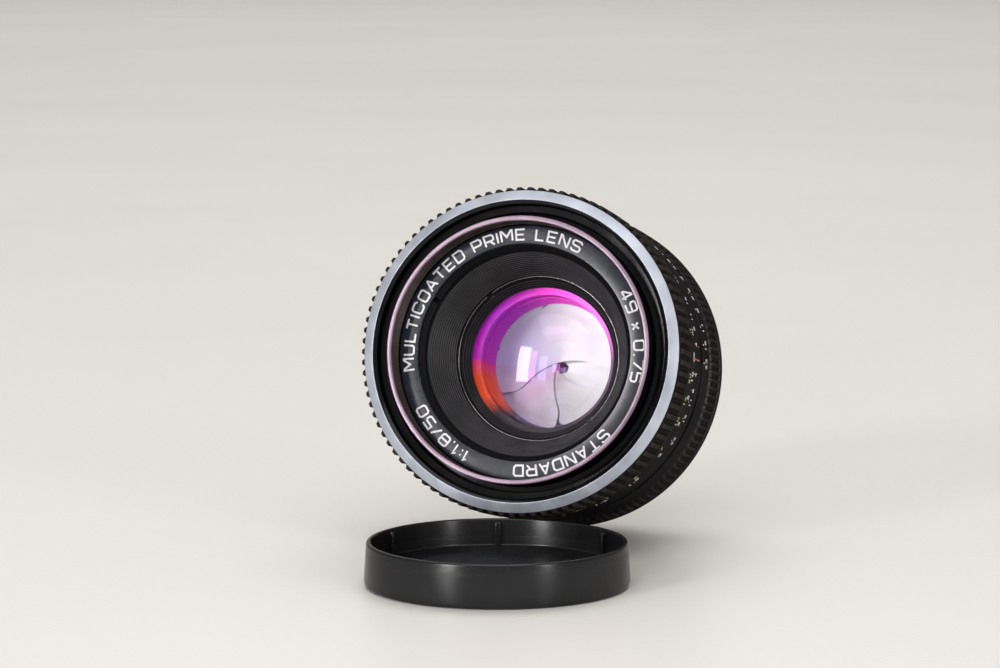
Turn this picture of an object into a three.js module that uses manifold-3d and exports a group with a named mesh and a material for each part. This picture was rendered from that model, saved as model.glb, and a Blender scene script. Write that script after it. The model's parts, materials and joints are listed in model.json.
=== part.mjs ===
// Prime lens of 50 mm focal length, lying on its side with its front edge propped on its own rear cap.
//
// Frame: millimetres, +Z up. The optical axis lies in the YZ plane and the front looks along -Y and up.
// Inside the lens group the optical axis is +Y: "s" is the distance behind the outer edge of the silver
// bevel ring, positive towards the camera mount. Angles about the axis are in degrees, 0 at +X and 90 at
// +Z, so they run anticlockwise as seen from the front.

import * as THREE from "three";
import { mergeVertices } from "three/addons/utils/BufferGeometryUtils.js";
import Module from "manifold-3d";

const wasm = await Module();
wasm.setup();

// ---------------------------------------------------------------- driving dimensions

const SHELL_SIDES = 36; // facets round the outer rings
const INNER_SIDES = 20; // facets round the hidden rings and the glass
const ROD_SIDES = 8; // facets round pins, screws and their holes
const HOLE_SIDES = 8; // facets round the small holes in flat plates
const ARC_STEPS = 5; // straight pieces along each arc of a flat shape
const GAP = 0.3; // clearance between neighbouring pieces
const OVERSHOOT = 1; // how far a cutting tool runs past the surface it leaves
const MERGE_TOLERANCE = 1e-4; // points closer than this are one vertex
const LEAN_STEPS = 40; // rounds of the search for the tilt

// Focusing group: it turns and travels with the optics.
const bevel = {
  outer: 30.33, inner: 28.58, lead: 0.89, wall: 27.7, wallFront: -0.445, lip: 26.4, lipFront: 1.9, rear: 3.0,
};
const grip = { tip: 31.1, root: 30.45, bore: 28.6, front: 0.4, rear: 8.6, flutes: 94, land: 0.5 };
const sleeve = { bore: 25.8, spigot: 28.2, band: 30.6, front: 5.1, bandFront: 8.9, rear: 14.2, edge: 0.3 };
const helicoid = { bore: 23.8, outer: 25.4, front: 8.8, rear: 21.8 };

// Optical group: it travels along the axis without turning.
const filter = {
  rim: -2.73, bore: 24.3, outer: 25.2, flange: 27.4, flangeFront: 3.4, flangeRear: 4.8,
  seat: 4.5, seatBore: 21.4, skirtFront: 8.2, skirt: 21.7, skirtBore: 20.5, coneRear: 7.0, rear: 14.0,
};
const nameRing = { inner: 20.6, outer: 24.0, front: 2.3, rear: 3.2 };
const baffle = {
  mouth: 20.3, throat: 16.0, wall: 0.8, flange: 23.9, front: 3.5, flangeRear: 4.2, rear: 13.9,
};
const retainer = { edge: 15.7, outer: 16.6, throat: 14.0, front: 14.3, rear: 18.0, slots: [131, 312] };
const retainerSlot = { inner: 15.0, width: 1.2, depth: 1.0 };
const block = {
  outer: 20.2, front: 9.6, frontBore: 19.0, throat: 17.2, throatRear: 13.9, ringBore: 16.9, ringRear: 18.4,
  frontPocket: 15.3, frontSeat: 21.0, elementBore: 12.5, shoulder: 31.0, irisBore: 19.4, rear: 36.0,
};
const camWindow = { front: 33.7, rear: 35.2, inner: 19.0, outer: 21.0, margin: 14 };
const key = { inner: 20.5, outer: 23.1, width: 3.0, front: 20.0, rear: 23.4, angles: [90, 270] };
const rearCell = {
  bore: 9.8, nose: 12.0, front: 34.0, flange: 19.1, flangeFront: 35.1, flangeRear: 35.8,
  outer: 13.2, pocket: 10.8, pocketFront: 42.7, rear: 45.6,
};
const rearRetainer = { inner: 9.4, outer: 10.5, front: 44.2, rear: 45.3 };
const spacer = { inner: 11.5, outer: 12.2, front: 26.5, rear: 26.85 };

// Glass: front and rear vertex, surface radii (positive when the centre lies behind, 0 when flat),
// edge radius, and the clear radius of a hollow rear surface that ends in a flat rim.
const glass = {
  front_element: { front: 14.8, rear: 19.4, frontRadius: 30, rearRadius: 90, edge: 15.0 },
  second_element: { front: 19.8, rear: 24.8, frontRadius: 20, rearRadius: 50, edge: 12.2 },
  third_element: { front: 25.8, rear: 27.6, frontRadius: 60, rearRadius: 14, edge: 12.2, rearClear: 9.0 },
  fourth_element: { front: 36.4, rear: 37.7, frontRadius: -18, rearRadius: 0, edge: 9.5, frontClear: 8.9 },
  fifth_element: { front: 37.8, rear: 41.8, frontRadius: 0, rearRadius: -22, edge: 9.5 },
  sixth_element: { front: 42.1, rear: 45.1, frontRadius: 60, rearRadius: -38, edge: 10.5 },
};
const GLASS_STEPS = 3; // straight pieces along each curved surface

// Iris: six crescent blades, each in a layer of its own, closed to the smallest stop.
const plate = { inner: 10.0, outer: 19.1, front: 31.3, rear: 31.6, holeRadius: 0.6 };
const blade = {
  count: 6, inner: 10.2, outer: 16.6, span: 112, heel: -4, pivotRadius: 17.2, leverLength: 1.8,
  leverAngle: -93, boss: 0.7, pin: 0.3, front: 31.9, pitch: 0.33, thickness: 0.18, pivotPinFront: 31.4,
  drivePinRear: 34.6, swing: 31.5,
};
const cam = {
  inner: 15.8, outer: 19.15, front: 34.1, rear: 34.7, slotHalfWidth: 0.6, slotSteps: 6,
  lugWidth: 1.4, lugRoot: 18.65,
};

// Fixed barrel and what it carries.
const barrel = {
  bore: 22.0, guide: 23.4, guideFront: 9.0, nestFront: 22.4, nest: 26.0, shelf: 27.8, shelfFront: 14.9,
  collarFront: 21.9, collar: 28.8, collarRear: 23.1, bearing: 26.6, rear: 36.8,
};
const keySlot = { width: 3.6, outer: 23.6, rear: 23.8 };
const forkSlot = { front: 35.6, margin: 7 };
const indexRing = { bore: 28.1, outer: 30.2, front: 14.7, rear: 21.6, edge: 0.2 };
const setScrew = {
  radius: 0.75, hole: 1.0, s: 18.2, inner: 28.15, outer: 29.9, slotWidth: 0.3, slotDepth: 0.3,
  angles: [60, 180, 300],
};
const click = { angle: 120, s: 27.0, ballRadius: 1.0, ballSeat: 26.2, hole: 1.35, holeFloor: 23.2 };
const clickCoil = { radius: 0.75, wire: 0.12, start: 23.5, end: 25.0, turns: 3, steps: 21, sides: 4 };
const mount = {
  outer: 31.0, face: 30.6, front: 37.7, edgeFront: 38.0, edgeRear: 39.1, stepRear: 39.5, flange: 28.5,
  flangeRear: 40.5, skirt: 19.3, web: 13.9, webFront: 40.2, webRear: 41.4, rear: 45.3, cavity: 22.0,
};
const thread = { crest: 21.0, root: 20.4, pitch: 1.0, start: 41.0, turns: 4 };
const mountScrew = {
  radius: 24.4, angles: [30, 150, 270], shank: 0.6, head: 1.4, tip: 32.2, neck: 39.2, rim: 40.1, top: 40.4,
  hole: 0.95, headHole: 1.75, headHoleFront: 39.0, holeFront: 31.7, slotWidth: 0.35, slotDepth: 0.35,
};
const pin = {
  radius: 17.0, angle: 270, outer: 1.25, bore: 0.85, collar: 1.9, front: 39.5, collarRear: 39.9,
  boreRear: 44.0, shoulder: 45.4, tip: 0.9, rear: 45.9, hole: 1.55,
};
const bracket = { inner: 15.4, outer: 21.6, width: 4.0, front: 36.4, rear: 36.9 };
const pinCoil = { radius: 0.55, wire: 0.11, start: 37.05, end: 43.8, turns: 7, steps: 49, sides: 4 };
const selector = { inner: 29.1, outer: 31.5, front: 21.95, rear: 23.05, angle: 150, span: 8 };

// Aperture ring and its drive.
const stopRing = {
  bore: 27.0, band: 30.3, land: 30.5, front: 23.4, edge: 0.2, bandRear: 29.4, knurlFront: 30.6,
  knurlRear: 37.1, rear: 37.3, tip: 31.0, root: 30.6, teeth: 124, grooveFront: 25.8, grooveRear: 28.2,
  groove: 27.7, travel: 47,
};
const fork = {
  inner: 20.6, outer: 21.5, armOuter: 26.7, armFront: 36.0, front: 18.5, rear: 36.5, width: 2.4, angle: 215,
};

// Rear cap, open side up.
const cap = {
  radius: 24.0, height: 8.0, bore: 22.7, floor: 3.0, recess: 20.0, recessDepth: 1.2, edge: 0.8, lipEdge: 0.2,
  ribs: 6, ribWidth: 1.2, ribInner: 21.7, ribFoot: 2.0, ribTop: 7.5, ribAngle: 15.55, x: 3.3, y: -29.3,
  rimGap: 0.05,
};

// ---------------------------------------------------------------- geometry helpers

const radians = THREE.MathUtils.degToRad;

function withoutExtras(geometry) {
  const bare = geometry.index ? geometry.toNonIndexed() : geometry.clone();
  bare.deleteAttribute("normal");
  bare.deleteAttribute("uv");
  return mergeVertices(bare, MERGE_TOLERANCE);
}

function toSolid(geometry) {
  const merged = withoutExtras(geometry);
  return new wasm.Manifold(
    new wasm.Mesh({
      numProp: 3,
      vertProperties: new Float32Array(merged.attributes.position.array),
      triVerts: new Uint32Array(merged.index.array),
    }),
  );
}

function toGeometry(solid) {
  const mesh = solid.getMesh();
  const geometry = new THREE.BufferGeometry();
  geometry.setAttribute("position", new THREE.BufferAttribute(new Float32Array(mesh.vertProperties), 3));
  geometry.setIndex(new THREE.BufferAttribute(new Uint32Array(mesh.triVerts), 1));
  geometry.computeVertexNormals();
  return geometry;
}

function cut(body, tools) {
  return toGeometry(tools.reduce((solid, tool) => solid.subtract(toSolid(tool)), toSolid(body)));
}

function join(body, more) {
  return toGeometry(more.reduce((solid, piece) => solid.add(toSolid(piece)), toSolid(body)));
}

// A turned piece. The outline is a list of [radius, s]; it is closed unless it starts and ends on the axis.
function turned(outline, sides = SHELL_SIDES) {
  const points = outline.map(([r, s]) => new THREE.Vector2(r, s));
  const onAxis = outline[0][0] === 0 && outline.at(-1)[0] === 0;
  if (THREE.ShapeUtils.isClockWise(points)) points.reverse();
  if (!onAxis) points.push(points[0].clone());
  return new THREE.LatheGeometry(points, sides, Math.PI / sides);
}

// A flat plate: a shape drawn as seen from the front, with its thickness from s = front to s = rear.
function flat(shape, front, rear) {
  const settings = { depth: rear - front, bevelEnabled: false, curveSegments: ARC_STEPS };
  const geometry = new THREE.ExtrudeGeometry(shape, settings);
  return geometry.rotateX(Math.PI / 2).translate(0, rear, 0);
}

const turnTo = (geometry, angle) => geometry.rotateY(-radians(angle));

// A bar along the axis, between two radii, at an angle about the axis.
function bar(inner, outer, width, front, rear, angle) {
  const box = new THREE.BoxGeometry(outer - inner, rear - front, width);
  return turnTo(box.translate((inner + outer) / 2, (front + rear) / 2, 0), angle);
}

function axialRod(radius, front, rear, distance, angle) {
  const rod = new THREE.CylinderGeometry(radius, radius, rear - front, ROD_SIDES);
  return turnTo(rod.translate(distance, (front + rear) / 2, 0), angle);
}

function radialRod(radius, inner, outer, s, angle) {
  const rod = new THREE.CylinderGeometry(radius, radius, outer - inner, ROD_SIDES).rotateZ(-Math.PI / 2);
  return turnTo(rod.translate((inner + outer) / 2, s, 0), angle);
}

// Part of a ring between two angles.
function sector(inner, outer, from, to) {
  const shape = new THREE.Shape();
  shape.absarc(0, 0, outer, radians(from), radians(to), false);
  shape.absarc(0, 0, inner, radians(to), radians(from), true);
  return shape;
}

function circle(x, y, radius, sides) {
  return Array.from({ length: sides }, (_, i) => {
    const angle = (2 * Math.PI * (i + 0.5)) / sides;
    return new THREE.Vector2(x + radius * Math.cos(angle), y + radius * Math.sin(angle));
  });
}

function addRoundHole(shape, x, y, radius, sides) {
  shape.holes.push(new THREE.Path(circle(x, y, radius, sides)));
}

// A ring with a toothed rim, from s = front to s = rear, with the middle of one tooth at the very bottom.
// A tooth is its tip, "land" of a pitch wide, and the bottom of the groove after it.
function toothedRing({ tip, root, teeth, land }, bore, front, rear) {
  const tooth = land ? [[-land / 2, tip], [land / 2, tip], [0.5, root]] : [[0, tip], [0.5, root]];
  const rim = Array.from({ length: teeth }, (_, i) =>
    tooth.map(([share, radius]) => {
      const angle = (2 * Math.PI * (i + share)) / teeth - Math.PI / 2;
      return new THREE.Vector2(radius * Math.cos(angle), radius * Math.sin(angle));
    }));
  const shape = new THREE.Shape(rim.flat());
  addRoundHole(shape, 0, 0, bore, SHELL_SIDES);
  return flat(shape, front, rear);
}

function coil({ radius, wire, start, end, turns, steps, sides }) {
  const points = [];
  for (let i = 0; i <= steps; i += 1) {
    const angle = (turns * 2 * Math.PI * i) / steps;
    const along = start + ((end - start) * i) / steps;
    points.push(new THREE.Vector3(radius * Math.cos(angle), along, radius * Math.sin(angle)));
  }
  const section = new THREE.Shape();
  for (let side = 0; side < sides; side += 1) {
    const angle = (2 * Math.PI * side) / sides;
    if (side) section.lineTo(wire * Math.cos(angle), wire * Math.sin(angle));
    else section.moveTo(wire, 0);
  }
  const extrudePath = new THREE.CatmullRomCurve3(points);
  return new THREE.ExtrudeGeometry(section, { extrudePath, steps, bevelEnabled: false });
}

// ---------------------------------------------------------------- glass

// How far a surface of a given radius has fallen back at distance r from the axis.
function sag(radius, r) {
  return radius ? Math.sign(radius) * (Math.abs(radius) - Math.sqrt(radius ** 2 - r ** 2)) : 0;
}

function surface(vertex, radius, clear) {
  const steps = radius ? GLASS_STEPS : 1;
  return Array.from({ length: steps + 1 }, (_, i) => {
    const r = (clear * i) / steps;
    return [r, vertex + sag(radius, r)];
  });
}

function element({ front, rear, frontRadius, rearRadius, edge, frontClear = edge, rearClear = edge }) {
  const frontSide = surface(front, frontRadius, frontClear);
  const rearSide = surface(rear, rearRadius, rearClear);
  if (frontClear < edge) frontSide.push([edge, frontSide.at(-1)[1]]);
  if (rearClear < edge) rearSide.push([edge, rearSide.at(-1)[1]]);
  return turned([...frontSide, ...rearSide.reverse()], INNER_SIDES);
}

// ---------------------------------------------------------------- focusing group

function frontBevelRing() {
  const b = bevel;
  const back = grip.front - GAP;
  const spigot = grip.bore - GAP;
  return turned([
    [b.inner, -b.lead], [b.outer, 0], [b.outer, back], [spigot, back], [spigot, b.rear],
    [b.lip, b.rear], [b.lip, b.lipFront], [b.wall, b.lipFront], [b.wall, b.wallFront],
  ]);
}

function focusGrip() {
  const rim = { tip: grip.tip, root: grip.root, teeth: grip.flutes, land: grip.land };
  return toothedRing(rim, grip.bore, grip.front, grip.rear);
}

function focusSleeve() {
  const f = sleeve;
  return turned([
    [f.bore, f.front], [f.spigot, f.front], [f.spigot, f.bandFront], [f.band, f.bandFront],
    [f.band, f.rear - f.edge], [f.band - f.edge, f.rear], [f.bore, f.rear],
  ]);
}

function focusHelicoid() {
  const h = helicoid;
  return turned([[h.bore, h.front], [h.outer, h.front], [h.outer, h.rear], [h.bore, h.rear]]);
}

// ---------------------------------------------------------------- optical group

function filterBarrel() {
  const f = filter;
  return turned([
    [f.bore, f.rim], [f.outer, f.rim], [f.outer, f.flangeFront], [f.flange, f.flangeFront],
    [f.flange, f.flangeRear], [f.outer, f.flangeRear], [f.outer, f.skirtFront], [f.skirt, f.skirtFront],
    [f.skirt, f.rear], [f.skirtBore, f.rear], [f.skirtBore, f.coneRear], [f.seatBore, f.seat],
    [f.bore, f.seat],
  ]);
}

function frontNameRing() {
  const n = nameRing;
  return turned([[n.inner, n.front], [n.outer, n.front], [n.outer, n.rear], [n.inner, n.rear]]);
}

function baffleCone() {
  const b = baffle;
  return turned([
    [b.mouth, b.front], [b.flange, b.front], [b.flange, b.flangeRear], [b.mouth + b.wall, b.flangeRear],
    [b.throat + b.wall, b.rear], [b.throat, b.rear],
  ]);
}

function frontRetainingRing() {
  const r = retainer;
  const ring = turned([[r.edge, r.front], [r.outer, r.front], [r.outer, r.rear], [r.throat, r.rear]]);
  const { inner, width, depth } = retainerSlot;
  const slots = r.slots.map((angle) =>
    bar(inner, r.outer + OVERSHOOT, width, r.front - OVERSHOOT, r.front + depth, angle));
  return cut(ring, slots);
}

function elementSpacer() {
  const p = spacer;
  return turned([[p.inner, p.front], [p.outer, p.front], [p.outer, p.rear], [p.inner, p.rear]], INNER_SIDES);
}

function lensBlock() {
  const b = block;
  const tube = turned([
    [b.frontBore, b.front], [b.outer, b.front], [b.outer, b.rear], [b.irisBore, b.rear],
    [b.irisBore, b.shoulder], [b.elementBore, b.shoulder], [b.elementBore, b.frontSeat],
    [b.frontPocket, b.frontSeat], [b.frontPocket, b.ringRear], [b.ringBore, b.ringRear],
    [b.ringBore, b.throatRear], [b.throat, b.throatRear],
  ]);
  const { inner, outer, front, rear, margin } = camWindow;
  const window = sector(inner, outer, fork.angle - stopRing.travel - margin, fork.angle + margin);
  return cut(tube, [flat(window, front, rear)]);
}

function guideKey(angle) {
  return bar(key.inner, key.outer, key.width, key.front, key.rear, angle);
}

function rearLensCell() {
  const c = rearCell;
  return turned([
    [c.bore, c.front], [c.nose, c.front], [c.nose, c.flangeFront], [c.flange, c.flangeFront],
    [c.flange, c.flangeRear], [c.outer, c.flangeRear], [c.outer, c.rear], [c.pocket, c.rear],
    [c.pocket, c.pocketFront], [c.bore, c.pocketFront],
  ], INNER_SIDES);
}

function rearRetainingRing() {
  const r = rearRetainer;
  return turned([[r.inner, r.front], [r.outer, r.front], [r.outer, r.rear], [r.inner, r.rear]], INNER_SIDES);
}

// ---------------------------------------------------------------- iris

// Pivot and drive pin of a blade, drawn for the blade whose pivot is at 0 degrees and fully open.
const middle = new THREE.Vector2();
const pivot = new THREE.Vector2(blade.pivotRadius, 0);
const lever = new THREE.Vector2(blade.leverLength, 0).rotateAround(middle, radians(blade.leverAngle));

// The drive pin's place when the blade is open by "share" of its swing: 1 is open, 0 is closed.
function drivePin(share) {
  return lever.clone().rotateAround(middle, radians(blade.swing * (1 - share))).add(pivot);
}

function capsule(from, to, radius) {
  const along = to.clone().sub(from).angle();
  const shape = new THREE.Shape();
  shape.absarc(to.x, to.y, radius, along - Math.PI / 2, along + Math.PI / 2, false);
  shape.absarc(from.x, from.y, radius, along + Math.PI / 2, along + (3 * Math.PI) / 2, false);
  return shape;
}

function crescent() {
  const mean = (blade.inner + blade.outer) / 2;
  const end = radians(blade.span);
  const shape = new THREE.Shape();
  shape.absarc(0, 0, blade.outer, radians(blade.heel), end, false);
  const tip = new THREE.Vector2(mean, 0).rotateAround(middle, end);
  shape.absarc(tip.x, tip.y, blade.outer - mean, end, end + Math.PI, false);
  shape.absarc(0, 0, blade.inner, end, radians(blade.heel), true);
  return shape;
}

// One blade with its pivot pin towards the front and its drive pin towards the rear, in layer "index".
function irisBlade(index) {
  const front = blade.front + index * blade.pitch;
  const rear = front + blade.thickness;
  const root = new THREE.Vector2(blade.outer - 2 * blade.boss, blade.boss);
  const open = drivePin(1);
  const leaf = join(flat(crescent(), front, rear), [
    flat(capsule(pivot, open, blade.boss), front, rear),
    flat(capsule(pivot, root, blade.boss), front, rear),
    axialRod(blade.pin, blade.pivotPinFront, rear, 0, 0).translate(pivot.x, 0, pivot.y),
    axialRod(blade.pin, front, blade.drivePinRear, 0, 0).translate(open.x, 0, open.y),
  ]);
  leaf.translate(-pivot.x, 0, -pivot.y).rotateY(-radians(blade.swing)).translate(pivot.x, 0, pivot.y);
  return turnTo(leaf, (index * 360) / blade.count);
}

function diaphragmPlate() {
  const shape = new THREE.Shape(circle(0, 0, plate.outer, INNER_SIDES));
  addRoundHole(shape, 0, 0, plate.inner, INNER_SIDES);
  for (let i = 0; i < blade.count; i += 1) {
    const angle = (i * 2 * Math.PI) / blade.count;
    const [x, y] = [blade.pivotRadius * Math.cos(angle), blade.pivotRadius * Math.sin(angle)];
    addRoundHole(shape, x, y, plate.holeRadius, HOLE_SIDES);
  }
  return flat(shape, plate.front, plate.rear);
}

// A cam slot is the drive pin's path as the cam ring sees it, widened by the slot's half width.
function camSlot(index) {
  const path = Array.from({ length: cam.slotSteps + 1 }, (_, i) => {
    const share = i / cam.slotSteps;
    const turn = radians(stopRing.travel * share + (index * 360) / blade.count);
    return drivePin(share).rotateAround(middle, turn);
  });
  const ends = [path[0].clone().sub(path[1]), path.at(-1).clone().sub(path.at(-2))];
  path.unshift(path[0].clone().add(ends[0].setLength(cam.slotHalfWidth)));
  path.push(path.at(-1).clone().add(ends[1].setLength(cam.slotHalfWidth)));
  const side = (sign) =>
    path.map((point, i) => {
      const along = path[Math.min(i + 1, path.length - 1)].clone().sub(path[Math.max(i - 1, 0)]).normalize();
      return new THREE.Vector2(-along.y, along.x).multiplyScalar(sign * cam.slotHalfWidth).add(point);
    });
  return new THREE.Path([...side(-1), ...side(1).reverse()]);
}

function camRing() {
  const shape = new THREE.Shape(circle(0, 0, cam.outer, INNER_SIDES));
  addRoundHole(shape, 0, 0, cam.inner, INNER_SIDES);
  for (let i = 0; i < blade.count; i += 1) shape.holes.push(camSlot(i));
  const ring = flat(shape, cam.front, cam.rear);
  const offset = fork.width / 2 + GAP + cam.lugWidth / 2;
  const lugs = [-offset, offset].map((across) => {
    const lug = new THREE.BoxGeometry(fork.outer - cam.lugRoot, cam.rear - cam.front, cam.lugWidth);
    lug.translate((fork.outer + cam.lugRoot) / 2, (cam.front + cam.rear) / 2, across);
    return turnTo(lug, fork.angle);
  });
  return join(ring, lugs);
}

// ---------------------------------------------------------------- fixed barrel

function fixedBarrel() {
  const b = barrel;
  const body = turned([
    [b.bore, b.guideFront], [b.guide, b.guideFront], [b.guide, b.nestFront], [b.nest, b.nestFront],
    [b.nest, b.shelfFront], [b.shelf, b.shelfFront], [b.shelf, b.collarFront], [b.collar, b.collarFront],
    [b.collar, b.collarRear], [b.bearing, b.collarRear], [b.bearing, b.rear], [b.bore, b.rear],
  ]);
  const { hole, holeFront, radius, angles } = mountScrew;
  const inside = b.bore - OVERSHOOT;
  const outside = b.bearing + OVERSHOOT;
  const rear = b.rear + OVERSHOOT;
  const { margin } = forkSlot;
  const arc = sector(inside, outside, fork.angle - stopRing.travel - margin, fork.angle + margin);
  const keyway = (angle) =>
    bar(inside, keySlot.outer, keySlot.width, b.guideFront - OVERSHOOT, keySlot.rear, angle);
  return cut(body, [
    ...key.angles.map(keyway),
    flat(arc, forkSlot.front, rear),
    radialRod(click.hole, click.holeFloor, outside, click.s, click.angle),
    ...angles.map((angle) => axialRod(hole, holeFront, rear, radius, angle)),
  ]);
}

function depthOfFieldRing() {
  const r = indexRing;
  const ring = turned([
    [r.bore, r.front], [r.outer - r.edge, r.front], [r.outer, r.front + r.edge],
    [r.outer, r.rear - r.edge], [r.outer - r.edge, r.rear], [r.bore, r.rear],
  ]);
  const { hole, s, angles } = setScrew;
  return cut(ring, angles.map((angle) => radialRod(hole, r.bore - OVERSHOOT, r.outer + OVERSHOOT, s, angle)));
}

function indexSetScrew(angle) {
  const { radius, inner, outer, s, slotWidth, slotDepth } = setScrew;
  const half = radius + OVERSHOOT;
  const groove = bar(outer - slotDepth, outer + OVERSHOOT, slotWidth, s - half, s + half, angle);
  return cut(radialRod(radius, inner, outer, s, angle), [groove]);
}

function clickBall() {
  const ball = new THREE.SphereGeometry(click.ballRadius, ROD_SIDES, ROD_SIDES / 2);
  return turnTo(ball.translate(click.ballSeat, click.s, 0), click.angle);
}

function clickSpring() {
  return turnTo(coil(clickCoil).rotateZ(-Math.PI / 2).translate(0, click.s, 0), click.angle);
}

function mountPlate() {
  const m = mount;
  const threadOutline = Array.from({ length: thread.turns }, (_, i) => {
    const s = thread.start + i * thread.pitch;
    return [[thread.crest, s], [thread.root, s + thread.pitch / 2]];
  }).flat();
  const body = turned([
    [m.cavity, m.front], [m.face, m.front], [m.outer, m.edgeFront], [m.outer, m.edgeRear],
    [m.face, m.stepRear], [m.flange, m.stepRear], [m.flange, m.flangeRear], [thread.crest, m.flangeRear],
    ...threadOutline,
    [thread.crest, thread.start + thread.turns * thread.pitch], [thread.root, m.rear], [m.skirt, m.rear],
    [m.skirt, m.webRear], [m.web, m.webRear], [m.web, m.webFront], [m.cavity, m.webFront],
  ]);
  const { hole, headHole, headHoleFront, radius, angles } = mountScrew;
  const rear = m.flangeRear + OVERSHOOT;
  return cut(body, [
    axialRod(pin.hole, m.webFront - OVERSHOOT, m.webRear + OVERSHOOT, pin.radius, pin.angle),
    ...angles.map((angle) => axialRod(hole, m.front - OVERSHOOT, rear, radius, angle)),
    ...angles.map((angle) => axialRod(headHole, headHoleFront, rear, radius, angle)),
  ]);
}

function mountingScrew(angle) {
  const w = mountScrew;
  const half = w.head + OVERSHOOT;
  const shank = [[0, w.tip], [w.shank, w.tip], [w.shank, w.neck]];
  const head = [[w.head, w.rim], [w.head, w.top], [0, w.top]];
  const groove = bar(-half, half, w.slotWidth, w.top - w.slotDepth, w.top + OVERSHOOT, 0);
  return turnTo(cut(turned([...shank, ...head], ROD_SIDES), [groove]).translate(w.radius, 0, 0), angle);
}

function pinBracket() {
  return bar(bracket.inner, bracket.outer, bracket.width, bracket.front, bracket.rear, pin.angle);
}

function stopDownPin() {
  const p = pin;
  const body = turned([
    [0, p.boreRear], [p.bore, p.boreRear], [p.bore, p.front], [p.collar, p.front], [p.collar, p.collarRear],
    [p.outer, p.collarRear], [p.outer, p.shoulder], [p.tip, p.rear], [0, p.rear],
  ], ROD_SIDES);
  return turnTo(body.translate(p.radius, 0, 0), p.angle);
}

function pinSpring() {
  return turnTo(coil(pinCoil).translate(pin.radius, 0, 0), pin.angle);
}

function modeSelector() {
  const { inner, outer, angle, span, front, rear } = selector;
  return flat(sector(inner, outer, angle - span / 2, angle + span / 2), front, rear);
}

// ---------------------------------------------------------------- aperture ring

function apertureRing() {
  const a = stopRing;
  const body = turned([
    [a.bore, a.front], [a.band - a.edge, a.front], [a.band, a.front + a.edge], [a.band, a.bandRear],
    [a.land, a.knurlFront], [a.land, a.knurlRear], [a.band, a.rear], [a.bore, a.rear],
    [a.bore, a.grooveRear], [a.groove, a.grooveRear], [a.groove, a.grooveFront], [a.bore, a.grooveFront],
  ]);
  const rim = { tip: a.tip, root: a.root, teeth: a.teeth };
  return join(body, [toothedRing(rim, (a.bore + a.land) / 2, a.knurlFront, a.knurlRear)]);
}

function apertureFork() {
  const f = fork;
  const arm = bar(f.inner, f.armOuter, f.width, f.armFront, f.rear, f.angle);
  return join(bar(f.inner, f.outer, f.width, f.front, f.rear, f.angle), [arm]);
}

// ---------------------------------------------------------------- rear cap

function rearCap() {
  const c = cap;
  const shell = turned([
    [0, c.recessDepth], [c.recess, c.recessDepth], [c.recess, 0], [c.radius - c.edge, 0], [c.radius, c.edge],
    [c.radius, c.height - c.lipEdge], [c.radius - c.lipEdge, c.height], [c.bore, c.height], [c.bore, c.floor],
    [0, c.floor],
  ]);
  const middle = (c.bore + c.radius) / 2;
  const ribs = Array.from({ length: c.ribs }, (_, i) =>
    bar(c.ribInner, middle, c.ribWidth, c.ribFoot, c.ribTop, c.ribAngle + (i * 360) / c.ribs));
  return join(shell, ribs);
}

// ---------------------------------------------------------------- materials and assembly

function finish(color, roughness, metalness) {
  return new THREE.MeshStandardMaterial({ color, roughness, metalness });
}

const finishes = {
  black: () => finish(0x17161a, 0.35, 0.6),
  flatBlack: () => finish(0x141416, 0.75, 0.2),
  satin: () => finish(0xb9bdc6, 0.35, 0.9),
  brass: () => finish(0xa8843c, 0.4, 0.9),
  steel: () => finish(0x9a9ca0, 0.3, 1.0),
  glass: () => finish(0xd8c8e8, 0.05, 0.0),
  plastic: () => finish(0x1a1a1d, 0.45, 0.0),
};

function add(group, name, geometry, look) {
  const mesh = new THREE.Mesh(geometry, finishes[look]());
  mesh.name = name;
  group.add(mesh);
}

const lens = new THREE.Group();
add(lens, "front_bevel_ring", frontBevelRing(), "satin");
add(lens, "focus_grip", focusGrip(), "black");
add(lens, "focus_sleeve", focusSleeve(), "black");
add(lens, "focus_helicoid", focusHelicoid(), "brass");
add(lens, "filter_barrel", filterBarrel(), "black");
add(lens, "name_ring", frontNameRing(), "black");
add(lens, "baffle_cone", baffleCone(), "flatBlack");
add(lens, "front_retaining_ring", frontRetainingRing(), "flatBlack");
for (const [name, prescription] of Object.entries(glass)) add(lens, name, element(prescription), "glass");
add(lens, "element_spacer", elementSpacer(), "flatBlack");
add(lens, "lens_block", lensBlock(), "black");
key.angles.forEach((angle, i) => add(lens, `guide_key_${i + 1}`, guideKey(angle), "brass"));
add(lens, "rear_cell", rearLensCell(), "black");
add(lens, "rear_retaining_ring", rearRetainingRing(), "flatBlack");
add(lens, "diaphragm_plate", diaphragmPlate(), "flatBlack");
for (let i = 0; i < blade.count; i += 1) add(lens, `iris_blade_${i + 1}`, irisBlade(i), "steel");
add(lens, "cam_ring", camRing(), "brass");
add(lens, "fixed_barrel", fixedBarrel(), "black");
add(lens, "depth_of_field_ring", depthOfFieldRing(), "black");
setScrew.angles.forEach((angle, i) => add(lens, `index_set_screw_${i + 1}`, indexSetScrew(angle), "steel"));
add(lens, "click_ball", clickBall(), "steel");
add(lens, "click_spring", clickSpring(), "steel");
add(lens, "mount_plate", mountPlate(), "black");
mountScrew.angles.forEach((angle, i) => add(lens, `mount_screw_${i + 1}`, mountingScrew(angle), "steel"));
add(lens, "pin_bracket", pinBracket(), "steel");
add(lens, "stop_down_pin", stopDownPin(), "steel");
add(lens, "pin_spring", pinSpring(), "steel");
add(lens, "mode_selector", modeSelector(), "black");
add(lens, "aperture_ring", apertureRing(), "black");
add(lens, "aperture_fork", apertureFork(), "steel");

const propCap = new THREE.Group();
add(propCap, "rear_cap", rearCap().rotateX(Math.PI / 2), "plastic");
propCap.position.set(cap.x, cap.y, 0);

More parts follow.
